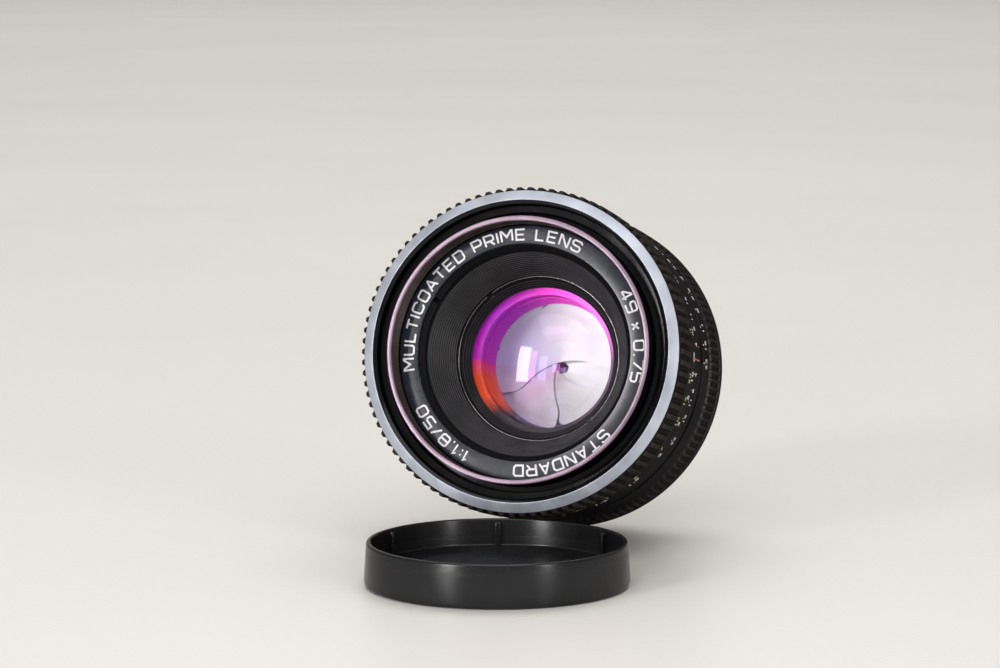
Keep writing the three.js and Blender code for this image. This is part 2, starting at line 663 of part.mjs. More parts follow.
// The lens leans back: its mount plate's edge is on the table, and its grip is on the cap's rear rim.
function leanOnCap() {
  const rim = cap.y + Math.sqrt(cap.radius ** 2 - cap.x ** 2);
  const rearRadius = mount.outer * Math.cos(Math.PI / SHELL_SIDES);
  let tilt = 0;
  for (let i = 0; i < LEAN_STEPS; i += 1) {
    const contact = (rim + grip.tip * Math.sin(tilt)) / Math.cos(tilt);
    const rise = cap.height + cap.rimGap + (grip.tip - rearRadius) * Math.cos(tilt);
    tilt = Math.asin(rise / (mount.edgeRear - contact));
  }
  return { tilt, height: mount.edgeRear * Math.sin(tilt) + rearRadius * Math.cos(tilt) };
}

const lean = leanOnCap();
lens.rotation.x = -lean.tilt;
lens.position.z = lean.height;

const assembly = new THREE.Group();
assembly.add(lens, propCap);

// The origin is on the table, under the middle of the whole object.
const bounds = new THREE.Box3().setFromObject(assembly, true);
assembly.position.set(-(bounds.min.x + bounds.max.x) / 2, -(bounds.min.y + bounds.max.y) / 2, -bounds.min.z);

const part = new THREE.Group();
part.add(assembly);

export default part;
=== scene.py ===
"""Looks of a 50 mm prime lens, propped on its own rear cap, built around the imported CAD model.

Lengths here are millimetres in the lens's own frame and become metres when a mesh is made. In that frame
+Y is the optical axis, pointing to the camera mount: "s" is the distance behind the outer edge of the bevel
ring. Angles about the axis are degrees, 0 at +X and 90 at +Z, anticlockwise as seen from the front. The cap
has a frame of its own in the same way, with +Y pointing up out of the table.
"""

import json
import math
from types import SimpleNamespace

import bmesh
import bpy
import numpy as np
from mathutils import Matrix, Vector


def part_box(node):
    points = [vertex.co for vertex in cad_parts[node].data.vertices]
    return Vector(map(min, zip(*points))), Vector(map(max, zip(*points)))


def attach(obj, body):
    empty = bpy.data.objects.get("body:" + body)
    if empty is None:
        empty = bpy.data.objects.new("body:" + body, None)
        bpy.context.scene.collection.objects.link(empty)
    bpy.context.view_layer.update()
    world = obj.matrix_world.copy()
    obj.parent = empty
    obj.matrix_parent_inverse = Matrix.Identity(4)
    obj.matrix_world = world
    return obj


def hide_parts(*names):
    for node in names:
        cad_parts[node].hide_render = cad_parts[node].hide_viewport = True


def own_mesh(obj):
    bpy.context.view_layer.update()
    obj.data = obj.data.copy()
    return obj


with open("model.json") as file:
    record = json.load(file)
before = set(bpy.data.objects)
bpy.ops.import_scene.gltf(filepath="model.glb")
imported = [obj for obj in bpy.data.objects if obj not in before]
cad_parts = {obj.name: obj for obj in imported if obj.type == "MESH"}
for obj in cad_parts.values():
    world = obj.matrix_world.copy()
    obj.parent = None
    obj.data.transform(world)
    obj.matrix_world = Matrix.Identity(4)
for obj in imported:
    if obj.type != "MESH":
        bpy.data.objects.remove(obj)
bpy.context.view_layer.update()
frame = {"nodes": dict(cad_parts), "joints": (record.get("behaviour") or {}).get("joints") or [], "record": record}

MM = 0.001
HINGE_S = 20.0  # every hinge on the optical axis is recorded at this s
ROUND = 256  # facets round a turned piece
SHARP = math.radians(35)  # edges bent more than this are shaded sharp
WELD, SLIVER = 2e-7, 1e-7  # metres: points closer than this are one, edges shorter than this go
CORNER_STEPS = 3  # points added on a rounded corner
FLAT_ENOUGH = math.cos(math.radians(155))  # corners opener than this stay as they are

# ---------------------------------------------------------------- places, from the frame


def joint(name):
    return next(j for j in frame["joints"] if j["name"] == name)


FORWARD = Vector(joint("focus_turn")["axis"]).normalized()
CENTRE = Vector(joint("focus_turn")["pos_m"]) + HINGE_S * MM * FORWARD


def rigid(right, along, up, origin):
    rows = [(right[i], along[i], up[i], origin[i]) for i in range(3)]
    return Matrix(rows + [(0, 0, 0, 1)])


RIGHT = Vector((1, 0, 0))
LENS = rigid(RIGHT, -FORWARD, RIGHT.cross(-FORWARD), CENTRE)

cap_low, cap_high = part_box("rear_cap")
CAP_CENTRE = Vector(((cap_low.x + cap_high.x) / 2, (cap_low.y + cap_high.y) / 2, cap_low.z))
CAP = rigid(RIGHT, Vector((0, 0, 1)), Vector((0, -1, 0)), CAP_CENTRE)

RECORD = frame["record"]
BODY_OF = {node: body for body, nodes in RECORD["behaviour"]["bodies"].items() for node in nodes}
SLOT_OF = {part["node"]: part["material_slot"] for part in RECORD["subparts"]}


def reach(node, place=LENS):
    """Inner and outer radius, and front and rear s, of a CAD node in millimetres."""
    corners = np.array([place.inverted() @ v.co for v in frame["nodes"][node].data.vertices]) / MM
    radius = np.hypot(corners[:, 0], corners[:, 2])
    return SimpleNamespace(
        inner=radius.min(), outer=radius.max(), front=corners[:, 1].min(), rear=corners[:, 1].max()
    )


# ---------------------------------------------------------------- meshes


def polar(radius, angle):
    return radius * math.cos(math.radians(angle)), radius * math.sin(math.radians(angle))


def new_object(name, data):
    obj = bpy.data.objects.new(name, data)
    bpy.context.scene.collection.objects.link(obj)
    return obj


def applied(obj):
    """The mesh of obj with its modifiers, or the mesh of its text."""
    return bpy.data.meshes.new_from_object(obj.evaluated_get(bpy.context.evaluated_depsgraph_get()))


def make_object(verts, faces, place=LENS):
    """A closed mesh from points in millimetres, shaded smooth except across sharp edges."""
    mesh = bpy.data.meshes.new("piece")
    mesh.from_pydata((np.asarray(verts, float) * MM).tolist(), [], faces)
    bm = bmesh.new()
    bm.from_mesh(mesh)
    bmesh.ops.remove_doubles(bm, verts=bm.verts, dist=WELD)
    bmesh.ops.dissolve_degenerate(bm, edges=bm.edges, dist=SLIVER)
    bmesh.ops.recalc_face_normals(bm, faces=bm.faces)
    bm.to_mesh(mesh)
    bm.free()
    mesh.polygons.foreach_set("use_smooth", [True] * len(mesh.polygons))
    mesh.set_sharp_from_angle(angle=SHARP)
    obj = new_object("piece", mesh)
    obj.matrix_world = place
    return obj


def rounded(outline, radius, closed=True):
    """Outline with a small curve at each sharp corner. Extra values of a point are carried along."""
    points = [np.array(p, float) for p in outline]
    count = len(points)
    out = []
    for i, corner in enumerate(points):
        if not closed and i in (0, count - 1):
            out.append(corner)
            continue
        before, after = points[i - 1] - corner, points[(i + 1) % count] - corner
        lengths = np.linalg.norm(before[:2]), np.linalg.norm(after[:2])
        cosine = np.dot(before[:2], after[:2]) / (lengths[0] * lengths[1])
        if cosine < FLAT_ENOUGH:
            out.append(corner)
            continue
        reach_along = min(radius, 0.45 * min(lengths))
        start = corner + before * reach_along / lengths[0]
        end = corner + after * reach_along / lengths[1]
        for step in range(CORNER_STEPS + 1):
            t = step / CORNER_STEPS
            out.append((1 - t) ** 2 * start + 2 * t * (1 - t) * corner + t**2 * end)
    return out


def turned(outline, edge=0.12, segments=ROUND, relief=None, place=LENS, closed=True):
    """A turned piece. A point of the outline is (radius, s) or (radius, s, weight): relief(angle, s) times
    the weight is cut from the radius. An outline that isn't closed starts and ends on the axis."""
    points = [tuple(p) + (0,) * (3 - len(p)) for p in outline]
    points = np.array(rounded(points, edge, closed))
    angles = np.radians(np.arange(segments) * 360 / segments)
    radius, along, weight = (np.tile(points[:, i], (segments, 1)) for i in range(3))
    if relief:
        radius = radius - weight * relief(np.degrees(angles)[:, None], along)
    verts = np.stack([radius * np.cos(angles)[:, None], along, radius * np.sin(angles)[:, None]], -1)
    count = len(points)
    faces = []
    for i in range(segments):
        here, there = i * count, (i + 1) % segments * count
        for j in range(count if closed else count - 1):
            k = (j + 1) % count
            faces.append((here + j, here + k, there + k, there + j))
    return make_object(verts.reshape(-1, 3), faces, place)


def tube(inner, outer, front, rear):
    return [(inner, front), (outer, front), (outer, rear), (inner, rear)]


def plate(shape, front, rear, place=LENS):
    """A flat plate from a convex or simple outline of (x, z) points, between two values of s."""
    count = len(shape)
    verts = [(x, front, z) for x, z in shape] + [(x, rear, z) for x, z in shape]
    faces = [tuple(range(count)), tuple(range(2 * count - 1, count - 1, -1))]
    faces += [(i, (i + 1) % count, count + (i + 1) % count, count + i) for i in range(count)]
    return make_object(verts, faces, place)


def block(inner, outer, width, front, rear, angle, place=LENS):
    """A bar along the axis between two radii, at an angle about the axis."""
    cos, sin = polar(1, angle)
    corners = [(inner, -width / 2), (outer, -width / 2), (outer, width / 2), (inner, width / 2)]
    shape = [(r * cos - w * sin, r * sin + w * cos) for r, w in corners]
    return plate(shape, front, rear, place)


def merge(first, *others):
    """One object from several, keeping every material."""
    bpy.ops.object.select_all(action="DESELECT")
    for obj in (first, *others):
        obj.select_set(True)
    bpy.context.view_layer.objects.active = first
    bpy.ops.object.join()
    return first


def carve(obj, *cutters):
    """Cuts closed meshes out of obj and deletes them."""
    for cutter in cutters:
        modifier = obj.modifiers.new("cut", "BOOLEAN")
        modifier.object = cutter
        modifier.operation = "DIFFERENCE"
        modifier.solver = "EXACT"
    result = applied(obj)
    obj.modifiers.clear()
    obj.data = result
    obj.data.set_sharp_from_angle(angle=SHARP)
    for cutter in cutters:
        bpy.data.objects.remove(cutter)
    return obj


def rod(radius, front, rear, distance, angle, edge=0.05):
    """A short round bar parallel to the axis."""
    bar = turned([(0, front), (radius, front), (radius, rear), (0, rear)], edge, 40, closed=False)
    x, z = polar(distance, angle)
    bar.data.transform(Matrix.Translation((x * MM, 0, z * MM)))
    return bar


def screw_slot(width, front, rear):
    """A cutter for the slot of a screw head on the axis."""
    return plate([(-2, -width / 2), (2, -width / 2), (2, width / 2), (-2, width / 2)], front, rear)


def spin(obj, angle):
    """Turns a mesh about the optical axis."""
    obj.data.transform(Matrix.Rotation(math.radians(-angle), 4, "Y"))
    return obj


# ---------------------------------------------------------------- lettering


PAINT = 0.03  # how far painted letters and lines stand out
SPACING = 1.1  # of the built-in font
FONT_CAP_HEIGHT = 0.729  # of the built-in font at size 1


def letters(text, height, place_point, stretch=1.0, weight=0.0):
    """Thin raised letters. place_point(along, up, out) gives the point for a place on the flat text."""
    curve = bpy.data.curves.new("text", "FONT")
    curve.body = text
    curve.align_x = "CENTER"
    curve.space_character = SPACING
    curve.offset = weight
    curve.resolution_u = 3
    source = new_object("text", curve)
    bpy.context.view_layer.update()
    flat = applied(source)
    bpy.data.objects.remove(source)
    scale = height / FONT_CAP_HEIGHT
    bm = bmesh.new()
    bm.from_mesh(flat)
    bmesh.ops.remove_doubles(bm, verts=bm.verts, dist=1e-5)
    bmesh.ops.solidify(bm, geom=bm.faces[:], thickness=1.0)
    verts = np.array([v.co for v in bm.verts])
    faces = [tuple(v.index for v in f.verts) for f in bm.faces]
    bm.free()
    out = (verts[:, 2] - verts[:, 2].min()) / max(np.ptp(verts[:, 2]), 1e-9) * PAINT
    points = [
        place_point(x * scale * stretch, (y - FONT_CAP_HEIGHT / 2) * scale, t)
        for (x, y, _), t in zip(verts, out)
    ]
    return make_object(points, faces)


def on_ring(middle, angle, face):
    """Text on a flat ring: it reads clockwise from the front, with its top outwards."""

    def place_point(along, up, out):
        x, z = polar(middle + up, angle - math.degrees(along / middle))
        return x, face - out, z

    return place_point


def on_barrel(radius, angle, s):
    """Text round a barrel: it reads anticlockwise, with its top towards the front."""

    def place_point(along, up, out):
        x, z = polar(radius + out, angle + math.degrees(along / radius))
        return x, s - up, z

    return place_point


SQUARE = ".15,0 0,.15 0,.85 .15,1 .75,1 .9,.85 .9,.15 .75,0 .15,0"
BOWL = "0,0 0,1 .75,1 .9,.87 .9,.55 .75,.42 0,.42"
GLYPHS = {  # strokes of a wide, square alphabet one unit high: x,y points, with ; between strokes
    "A": "0,0 .45,1 .5,1 .95,0; .17,.3 .78,.3",
    "C": ".9,.78 .9,.85 .75,1 .15,1 0,.85 0,.15 .15,0 .75,0 .9,.15 .9,.22",
    "D": "0,0 0,1 .72,1 .9,.82 .9,.18 .72,0 0,0",
    "E": ".85,1 0,1 0,0 .85,0; 0,.5 .75,.5",
    "I": "0,0 0,1",
    "L": "0,1 0,0 .8,0",
    "M": "0,0 0,1 .12,1 .55,.4 .98,1 1.1,1 1.1,0",
    "N": "0,0 0,1 .1,1 .8,0 .9,0 .9,1",
    "O": SQUARE,
    "P": BOWL,
    "R": BOWL + "; .5,.42 .9,0",
    "S": ".88,.8 .88,.87 .75,1 .15,1 0,.87 0,.65 .15,.52 .75,.5 .9,.37 .9,.13 .75,0 .15,0 .02,.13 .02,.2",
    "T": "0,1 .9,1; .45,1 .45,0",
    "U": "0,1 0,.15 .15,0 .75,0 .9,.15 .9,1",
    "0": SQUARE,
    "1": "0,.78 .25,1 .25,0",
    "4": ".6,0 .6,1 .5,1 0,.4 0,.28 .85,.28",
    "5": ".85,1 0,1 0,.57 .75,.57 .9,.44 .9,.13 .75,0 0,0",
    "7": "0,1 .85,1 .85,.85 .3,0",
    "8": SQUARE + "; 0,.5 .9,.5",
    "9": ".9,.48 .15,.48 0,.6 0,.87 .15,1 .75,1 .9,.87 .9,.13 .75,0 .05,0",
    "x": "0,.05 .6,.65; 0,.65 .6,.05",
    ".": "0,0 .14,0",
    ":": "0,.2 .14,.2; 0,.7 .14,.7",
    "/": "0,0 .6,1",
}


def strokes_of(character):
    strokes = GLYPHS[character].split(";") if character in GLYPHS else []
    return [
        [tuple(float(number) for number in point.split(",")) for point in stroke.split()]
        for stroke in strokes
    ]


def stroke_outline(line, width):
    """Left and right edge points of a stroke, with mitred corners."""
    closed = line[0] == line[-1]
    points = np.array(line[:-1] if closed else line, float)
    count = len(points)
    sides = []
    for i, point in enumerate(points):
        before = point - points[i - 1] if closed or i > 0 else points[1] - point
        after = points[(i + 1) % count] - point if closed or i < count - 1 else before
        normals = [np.array((-d[1], d[0])) / np.linalg.norm(d) for d in (before, after)]
        middle = normals[0] + normals[1]
        mitre = middle / max(np.dot(middle, normals[0]), 0.5)
        sides.append((point + mitre * width / 2, point - mitre * width / 2))
    return sides, closed


def engraved(text, height, place_point):
    """Thin raised text of square strokes, centred on place_point."""
    width, gap, blank = 0.18, 0.40, 0.75  # of a stroke, between letters and of a space, for a height of 1
    strokes, advance = [], 0
    for character in text:
        lines = strokes_of(character)
        strokes += [[(advance + x, y) for x, y in line] for line in lines]
        advance += max((x for line in lines for x, _ in line), default=blank - gap) + gap
    shift = (advance - gap) / 2
    verts, faces = [], []
    for line in strokes:
        sides, closed = stroke_outline(line, width)
        start = len(verts)
        for left, right in sides:
            for (x, y), out in ((left, 0), (right, 0), (right, PAINT), (left, PAINT)):
                verts.append(place_point((x - shift) * height, (y - 0.5) * height, out))
        count = len(sides)
        for i in range(count if closed else count - 1):
            here, there = start + 4 * i, start + 4 * ((i + 1) % count)
            faces += [(here + j, here + (j + 1) % 4, there + (j + 1) % 4, there + j) for j in range(4)]
        if not closed:
            end = start + 4 * count
            faces += [tuple(range(start, start + 4)), tuple(range(end - 1, end - 5, -1))]
    return make_object(verts, faces)


def mark(radius, angle, front, rear, width):
    """A painted line along a barrel."""
    return block(radius - 0.05, radius + PAINT, width, front, rear, angle)


# ---------------------------------------------------------------- materials


DUST = (0.42, 0.37, 0.33)


class Graph:
    """Short hand for building a node tree."""

    def __init__(self, name):
        self.material = bpy.data.materials.new(name)
        self.material.use_nodes = True
        self.tree = self.material.node_tree
        self.tree.nodes.clear()
        self.output = self.node("ShaderNodeOutputMaterial")

    def node(self, kind, **settings):
        node = self.tree.nodes.new(kind)
        for key, value in settings.items():
            setattr(node, key, value)
        return node

    def put(self, socket, value):
        if isinstance(value, bpy.types.NodeSocket):
            self.tree.links.new(value, socket)
        elif value is not None:
            socket.default_value = value

    def math(self, operation, *values, clamp=False):
        node = self.node("ShaderNodeMath", operation=operation, use_clamp=clamp)
        for socket, value in zip(node.inputs, values):
            self.put(socket, value)
        return node.outputs[0]

    def place(self):
        return self.node("ShaderNodeTexCoord").outputs["Object"]

    def lathe_place(self):
        """Radius and s only, so that a pattern runs in circles round the axis."""
        x, y, z = self.split_place()
        squares = self.math("MULTIPLY", x, x), self.math("MULTIPLY", z, z)
        radius = self.math("SQRT", self.math("ADD", *squares))
        joined = self.node("ShaderNodeCombineXYZ")
        self.put(joined.inputs[0], radius)
        self.put(joined.inputs[1], y)
        return joined.outputs[0]

    def noise(self, where, per_metre, detail=4.0, rough=0.55):
        node = self.node("ShaderNodeTexNoise")
        self.put(node.inputs["Vector"], where)
        self.put(node.inputs["Scale"], per_metre)
        self.put(node.inputs["Detail"], detail)
        self.put(node.inputs["Roughness"], rough)
        return node.outputs["Fac"]

    def span(self, value, low, high, out_low, out_high):
        node = self.node("ShaderNodeMapRange")
        for socket, number in zip(node.inputs, (value, low, high, out_low, out_high)):
            self.put(socket, number)
        return node.outputs[0]

    def mix(self, share, first, second):
        node = self.node("ShaderNodeMix", data_type="RGBA")
        self.put(node.inputs[0], share)
        self.put(node.inputs[6], first if isinstance(first, bpy.types.NodeSocket) else (*first, 1))
        self.put(node.inputs[7], second if isinstance(second, bpy.types.NodeSocket) else (*second, 1))
        return node.outputs[2]

    def bump(self, height, strength, distance, normal=None):
        node = self.node("ShaderNodeBump")
        self.put(node.inputs["Strength"], strength)
        self.put(node.inputs["Distance"], distance)
        self.put(node.inputs["Height"], height)
        self.put(node.inputs["Normal"], normal)
        return node.outputs[0]

    def ramp(self, value, stops):
        node = self.node("ShaderNodeValToRGB")
        self.put(node.inputs[0], value)
        elements = node.color_ramp.elements
        while len(elements) < len(stops):
            elements.new(0.5)
        for element, (position, colour) in zip(elements, stops):
            element.position = position
            element.color = (*colour, 1)
        return node.outputs[0]

    def drifting(self, per_metre, detail, low, high, out_low=0.0, out_high=1.0):
        return self.span(self.noise(self.place(), per_metre, detail), low, high, out_low, out_high)

    def dusted(self, tone, amount, start, per_metre=2600, detail=5, rough=0.7, reach=0.05, colour=DUST):
        grime = self.noise(self.place(), per_metre, detail, rough)
        return self.mix(self.span(grime, start, start + reach, 0.0, amount), tone, colour)

    def grain(self, per_metre, low, high, strength, distance=0.00002):
        """Roughness between two values and a bump, both from the same fine noise."""
        fine = self.noise(self.place(), per_metre, 3)
        return self.span(fine, 0.3, 0.7, low, high), self.bump(fine, strength, distance)

    def split_place(self):
        parts = self.node("ShaderNodeSeparateXYZ")
        self.put(parts.inputs[0], self.place())
        return parts.outputs

    def turn(self):
        """Share of a turn about the axis, from 0 to 1."""
        x, _, z = self.split_place()
        return self.span(self.math("ARCTAN2", z, x), -math.pi, math.pi, 0.0, 1.0)

    def blend(self, share, first, second):
        both = self.node("ShaderNodeMixShader")
        for socket, value in zip(both.inputs, (share, first, second)):
            self.put(socket, value)
        return both.outputs[0]

    def mirror(self, roughness, colour=None, normal=None):
        node = self.node("ShaderNodeBsdfGlossy")
        self.put(node.inputs["Roughness"], roughness)
        self.put(node.inputs["Color"], colour)
        self.put(node.inputs["Normal"], normal)
        return node.outputs[0]

    def shader(self, colour, roughness, metallic=0.0, normal=None, **fixed):
        node = self.node("ShaderNodeBsdfPrincipled")
        self.put(node.inputs["Base Color"], colour)
        self.put(node.inputs["Roughness"], roughness)
        self.put(node.inputs["Metallic"], metallic)
        self.put(node.inputs["Normal"], normal)
        for key, value in fixed.items():
            self.put(node.inputs[key.replace("_", " ")], value)
        return node.outputs[0]

    def sheen(self, body, share, roughness, normal):
        """Adds the even, weak mirror of a black coating, which doesn't turn pale at a glancing angle."""
        return self.blend(share, body, self.mirror(roughness, normal=normal))

    def finish(self, surface):
        self.put(self.output.inputs["Surface"], surface)
        return self.material


def metal_finish(name, colour, roughness, metallic=1.0, second=None, marks=0.25, wear=0.0, dust=0.0,
                 worn=(0.45, 0.44, 0.43), sheen=0.0, **fixed):
    """A turned surface: slow colour drift, circular tool marks, fine grain, worn edges and some dust."""
    g = Graph(name)
    second = second or tuple(min(1.0, c * 1.45 + 0.002) for c in colour)
    drift = g.noise(g.place(), 130, 6)
    tone = g.mix(g.span(drift, 0.35, 0.65, 0.0, 1.0), colour, second)
    lines = g.noise(g.lathe_place(), 5200, 2)
    fine = g.noise(g.place(), 9000, 3)
    if wear:
        edge = g.node("ShaderNodeNewGeometry").outputs["Pointiness"]
        raised = g.span(edge, 0.51, 0.56, 0.0, wear)
        tone = g.mix(g.math("MULTIPLY", raised, g.span(drift, 0.4, 0.6, 0.2, 1.0)), tone, worn)
    if dust:
        tone = g.dusted(tone, dust, 0.71)
    slow = g.span(drift, 0.3, 0.7, roughness - 0.04, roughness + 0.05)
    shine = g.math("ADD", g.span(fine, 0.3, 0.7, -0.05, 0.06), slow)
    normal = g.bump(lines, marks, 0.00003)
    normal = g.bump(fine, marks * 0.5, 0.00002, normal)
    body = g.shader(tone, shine, metallic, normal, **fixed)
    return g.finish(g.sheen(body, sheen, shine, normal) if sheen else body)


def paint(name, colour):
    """Paint filling an engraving: slightly uneven and matt."""
    g = Graph(name)
    patchy = g.noise(g.place(), 1500, 4)
    tone = g.mix(g.span(patchy, 0.35, 0.65, 0.0, 1.0), colour, tuple(c * 0.82 for c in colour))
    return g.finish(g.shader(tone, 0.5, normal=g.bump(patchy, 0.2, 0.00002)))


def plastic_finish(name, colour, roughness):
    """Moulded plastic: fine texture, faint flow lines, handling scuffs and dust."""
    g = Graph(name)
    tone = g.mix(g.drifting(90, 5, 0.35, 0.65), colour, tuple(c * 1.6 + 0.003 for c in colour))
    tone = g.dusted(tone, 0.6, 0.66, 3600, 6, 0.75, 0.06, (0.36, 0.33, 0.30))
    scuff = g.span(g.noise(g.lathe_place(), 900, 4), 0.5, 0.75, 0.0, 0.12)
    smooth, normal = g.grain(7000, roughness - 0.05, roughness + 0.06, 0.12, 0.00004)
    shine = g.math("ADD", smooth, scuff)
    body = g.shader(tone, shine, 0.0, normal, Specular_IOR_Level=0.06)
    return g.finish(g.sheen(body, 0.034, shine, normal))


GLASS_IOR, FILM_IOR, FILM_SHARE = 1.28, 1.35, 0.7  # the glass bends light little, so that the iris shows


def glass_finish(name, tint, strength, body_tint):
    """Coated glass: clear, with a tinted mirror film that is stronger at a glancing angle. Light that only
    makes shadows or bounces off a matt surface passes straight through."""
    g = Graph(name)
    film = g.mix(g.drifting(220, 3, 0.35, 0.65), tint, tuple(c * 0.75 for c in tint))
    clear = g.node("ShaderNodeBsdfRefraction")
    g.put(clear.inputs["Color"], (*body_tint, 1))
    g.put(clear.inputs["IOR"], GLASS_IOR)
    g.put(clear.inputs["Roughness"], 0.0)
    glance = g.node("ShaderNodeFresnel")
    g.put(glance.inputs["IOR"], FILM_IOR)
    share = g.math("ADD", g.math("MULTIPLY", glance.outputs[0], FILM_SHARE), strength, clamp=True)
    body = g.blend(share, clear.outputs[0], g.mirror(0.02, film))
    path = g.node("ShaderNodeLightPath")
    passing = g.math("MAXIMUM", path.outputs["Is Shadow Ray"], path.outputs["Is Diffuse Ray"])
    return g.finish(g.blend(passing, body, g.node("ShaderNodeBsdfTransparent").outputs[0]))


def painted_groove_highlight_finish(name, rear, front, count, colour, land):
    """Black with a paler edge on each turned groove, a painted highlight where light would catch it. rear and
    front are the s of the grooved stretch.
    """
    g = Graph(name)
    along = g.split_place()[1]
    pitch = (front - rear) / count * MM
    phase = g.math("FRACT", g.math("DIVIDE", g.math("SUBTRACT", along, rear * MM), pitch))
    # The paler edge of each groove is a painted highlight.
    edge = g.math("MULTIPLY", g.math("LESS_THAN", phase, 0.30), g.drifting(200, 5, 0.35, 0.65, 0.55, 1.0))
    ends = g.math("LESS_THAN", along, rear * MM), g.math("GREATER_THAN", along, front * MM)
    tone = g.mix(g.math("MULTIPLY", edge, g.math("MULTIPLY", *ends)), colour, land)
    tone = g.dusted(tone, 0.1, 0.72)
    shine, normal = g.grain(7000, 0.36, 0.46, 0.1)
    body = g.shader(tone, shine, 0.0, normal, Specular_IOR_Level=0.0)
    return g.finish(g.sheen(body, 0.02, shine, normal))


def blade_painted_light_finish(name):
    """Thin polished leaves with painted light: a painted highlight on the lit side, grey painted shade underneath,
    and lavender and pink painted reflections of the coatings, set by the angle round the axis.
    """
    g = Graph(name)
    # Colour by angle: painted highlight on the right, painted shade underneath, painted coating reflections on the
    # left.
    tone = g.ramp(g.turn(), [
        (0.0, (0.50, 0.40, 0.72)), (0.10, (0.52, 0.34, 0.50)), (0.22, (0.40, 0.36, 0.37)),
        (0.36, (0.60, 0.60, 0.58)), (0.47, (0.92, 0.92, 0.90)), (0.66, (0.95, 0.95, 0.94)),
        (0.78, (0.66, 0.64, 0.70)), (1.0, (0.50, 0.44, 0.78)),
    ])
    # Lavender patches: painted reflections of the coatings.
    tone = g.mix(g.drifting(260, 4, 0.42, 0.66, 0.0, 0.35), tone, (0.62, 0.60, 0.86))
    shine, normal = g.grain(6000, 0.36, 0.48, 0.1)
    return g.finish(g.shader(tone, shine, 0.1, normal))


def painted_reflection_wall_finish(name):
    """The polished bore round the inner elements, painted with reflections of the coatings and with painted shade:
    magenta over the top, orange at the lower side and black painted shade underneath. The same colours are given
    off as light, a painted glow."""
    g = Graph(name)
    orange, shade_black = (0.62, 0.055, 0.008), (0.01, 0.004, 0.010)
    # Colour by the angle round the axis: painted coating reflections, with black painted shade underneath.
    tone = g.ramp(g.turn(), [
        (0.0, (0.55, 0.006, 0.20)), (0.035, orange), (0.09, orange), (0.135, shade_black), (0.30, shade_black),
        (0.50, (0.05, 0.01, 0.05)), (0.62, (0.60, 0.05, 0.46)), (0.74, (0.62, 0.02, 0.42)),
        (0.88, (0.36, 0.0, 0.44)), (1.0, (0.42, 0.004, 0.40)),
    ])
    shine, normal = g.grain(4000, 0.28, 0.40, 0.1)
    # The emission makes the painted reflection glow, though the wall is no lamp.
    return g.finish(g.shader(tone, shine, 0.3, normal, Emission_Color=tone, Emission_Strength=0.28))


DARK = {"metallic": 0.0, "sheen": 0.022, "Specular_IOR_Level": 0.0}
BLACK = metal_finish("black_anodised", (0.0055, 0.005, 0.0055), 0.30, wear=0.04, dust=0.06, **DARK)
GRIP_BLACK = metal_finish("grip_black", (0.014, 0.009, 0.006), 0.34, wear=0.04, dust=0.05, **DARK)
GLOSS_BLACK = metal_finish("gloss_black", (0.003, 0.0025, 0.0035), 0.12, marks=0.1, dust=0.30, **DARK)
SATIN = metal_finish("satin_bevel", (0.33, 0.36, 0.42), 0.42, 0.55, (0.47, 0.50, 0.57), 0.15, 0.2,
                     worn=(0.78, 0.79, 0.82))
# The front rim of the filter barrel in pale mauve metal: a painted highlight, in part also worn edge.
RIM_PAINTED_HIGHLIGHT = metal_finish("anodised_rim_painted_highlight", (0.17, 0.12, 0.16), 0.34, 0.6, (0.30, 0.22, 0.28), 0.3, dust=0.1)
THREAD = metal_finish("thread_black", (0.030, 0.020, 0.018), 0.25, 0.3, (0.046, 0.032, 0.029), 0.3,
                      dust=0.2)
NAME_PLATE = metal_finish("name_plate", (0.011, 0.014, 0.022), 0.24, 0.0, marks=0.08, dust=0.10,
                          Specular_IOR_Level=0.55)
BAFFLE = metal_finish("baffle_black", (0.007, 0.0068, 0.0075), 0.40, marks=0.2, dust=0.06, **DARK)
GROOVE_BLACK = metal_finish("groove_black", (0.0025, 0.002, 0.0015), 0.6, dust=0.04, **DARK)
EDGE_BLACK = metal_finish("ground_edge", (0.006, 0.006, 0.007), 0.6, 0.0, marks=0.2)
BRASS = metal_finish("brass", (0.50, 0.34, 0.13), 0.30, 1.0, marks=0.5)
STEEL = metal_finish("bright_steel", (0.52, 0.52, 0.54), 0.25, 1.0, marks=0.3)
BLUED = metal_finish("blued_steel", (0.05, 0.05, 0.058), 0.32, 0.9, marks=0.3, wear=0.3)
PLASTIC = plastic_finish("cap_plastic", (0.0035, 0.0035, 0.0042), 0.22)
# Leaves with painted light and painted coating reflections in their colour; their side faces are near black
# painted shade.
BLADE_PAINTED_LIGHT = blade_painted_light_finish("blade_steel")
BLADE_EDGE_PAINTED_SHADE = metal_finish("blade_edge_painted_shade", (0.10, 0.09, 0.10), 0.45, 0.0, marks=0.1)
WHITE = paint("white_paint", (0.82, 0.80, 0.84))
GREEN = paint("yellow_green_paint", (0.55, 0.60, 0.16))
RED = paint("red_paint", (0.62, 0.06, 0.03))
# Painted reflections of the coatings, painted shade and a painted glow.
PAINTED_REFLECTION_GLOW = painted_reflection_wall_finish("painted_coating_reflection_glow")


def dress(obj, name, material, slot, body):
    """Gives a piece its name, its first material and the body it rides. The record's slot is not used."""
    obj.name = obj.data.name = name
    obj.data.materials.clear()
    obj.data.materials.append(material)
    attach(obj, body)


def repaint(obj, material, where):
    """Gives another material to the faces whose middle satisfies where(radius, s)."""
    obj.data.materials.append(material)
    index = len(obj.data.materials) - 1
    for face in obj.data.polygons:
        x, s, z = face.center / MM
        if where(math.hypot(x, z), s):
            face.material_index = index


def stand_for(obj, material, node, name=None):
    """A visual piece that takes the place of a CAD node and rides with it."""
    dress(obj, name or f"{node}_visual", material, SLOT_OF[node], BODY_OF[node])
    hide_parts(node)


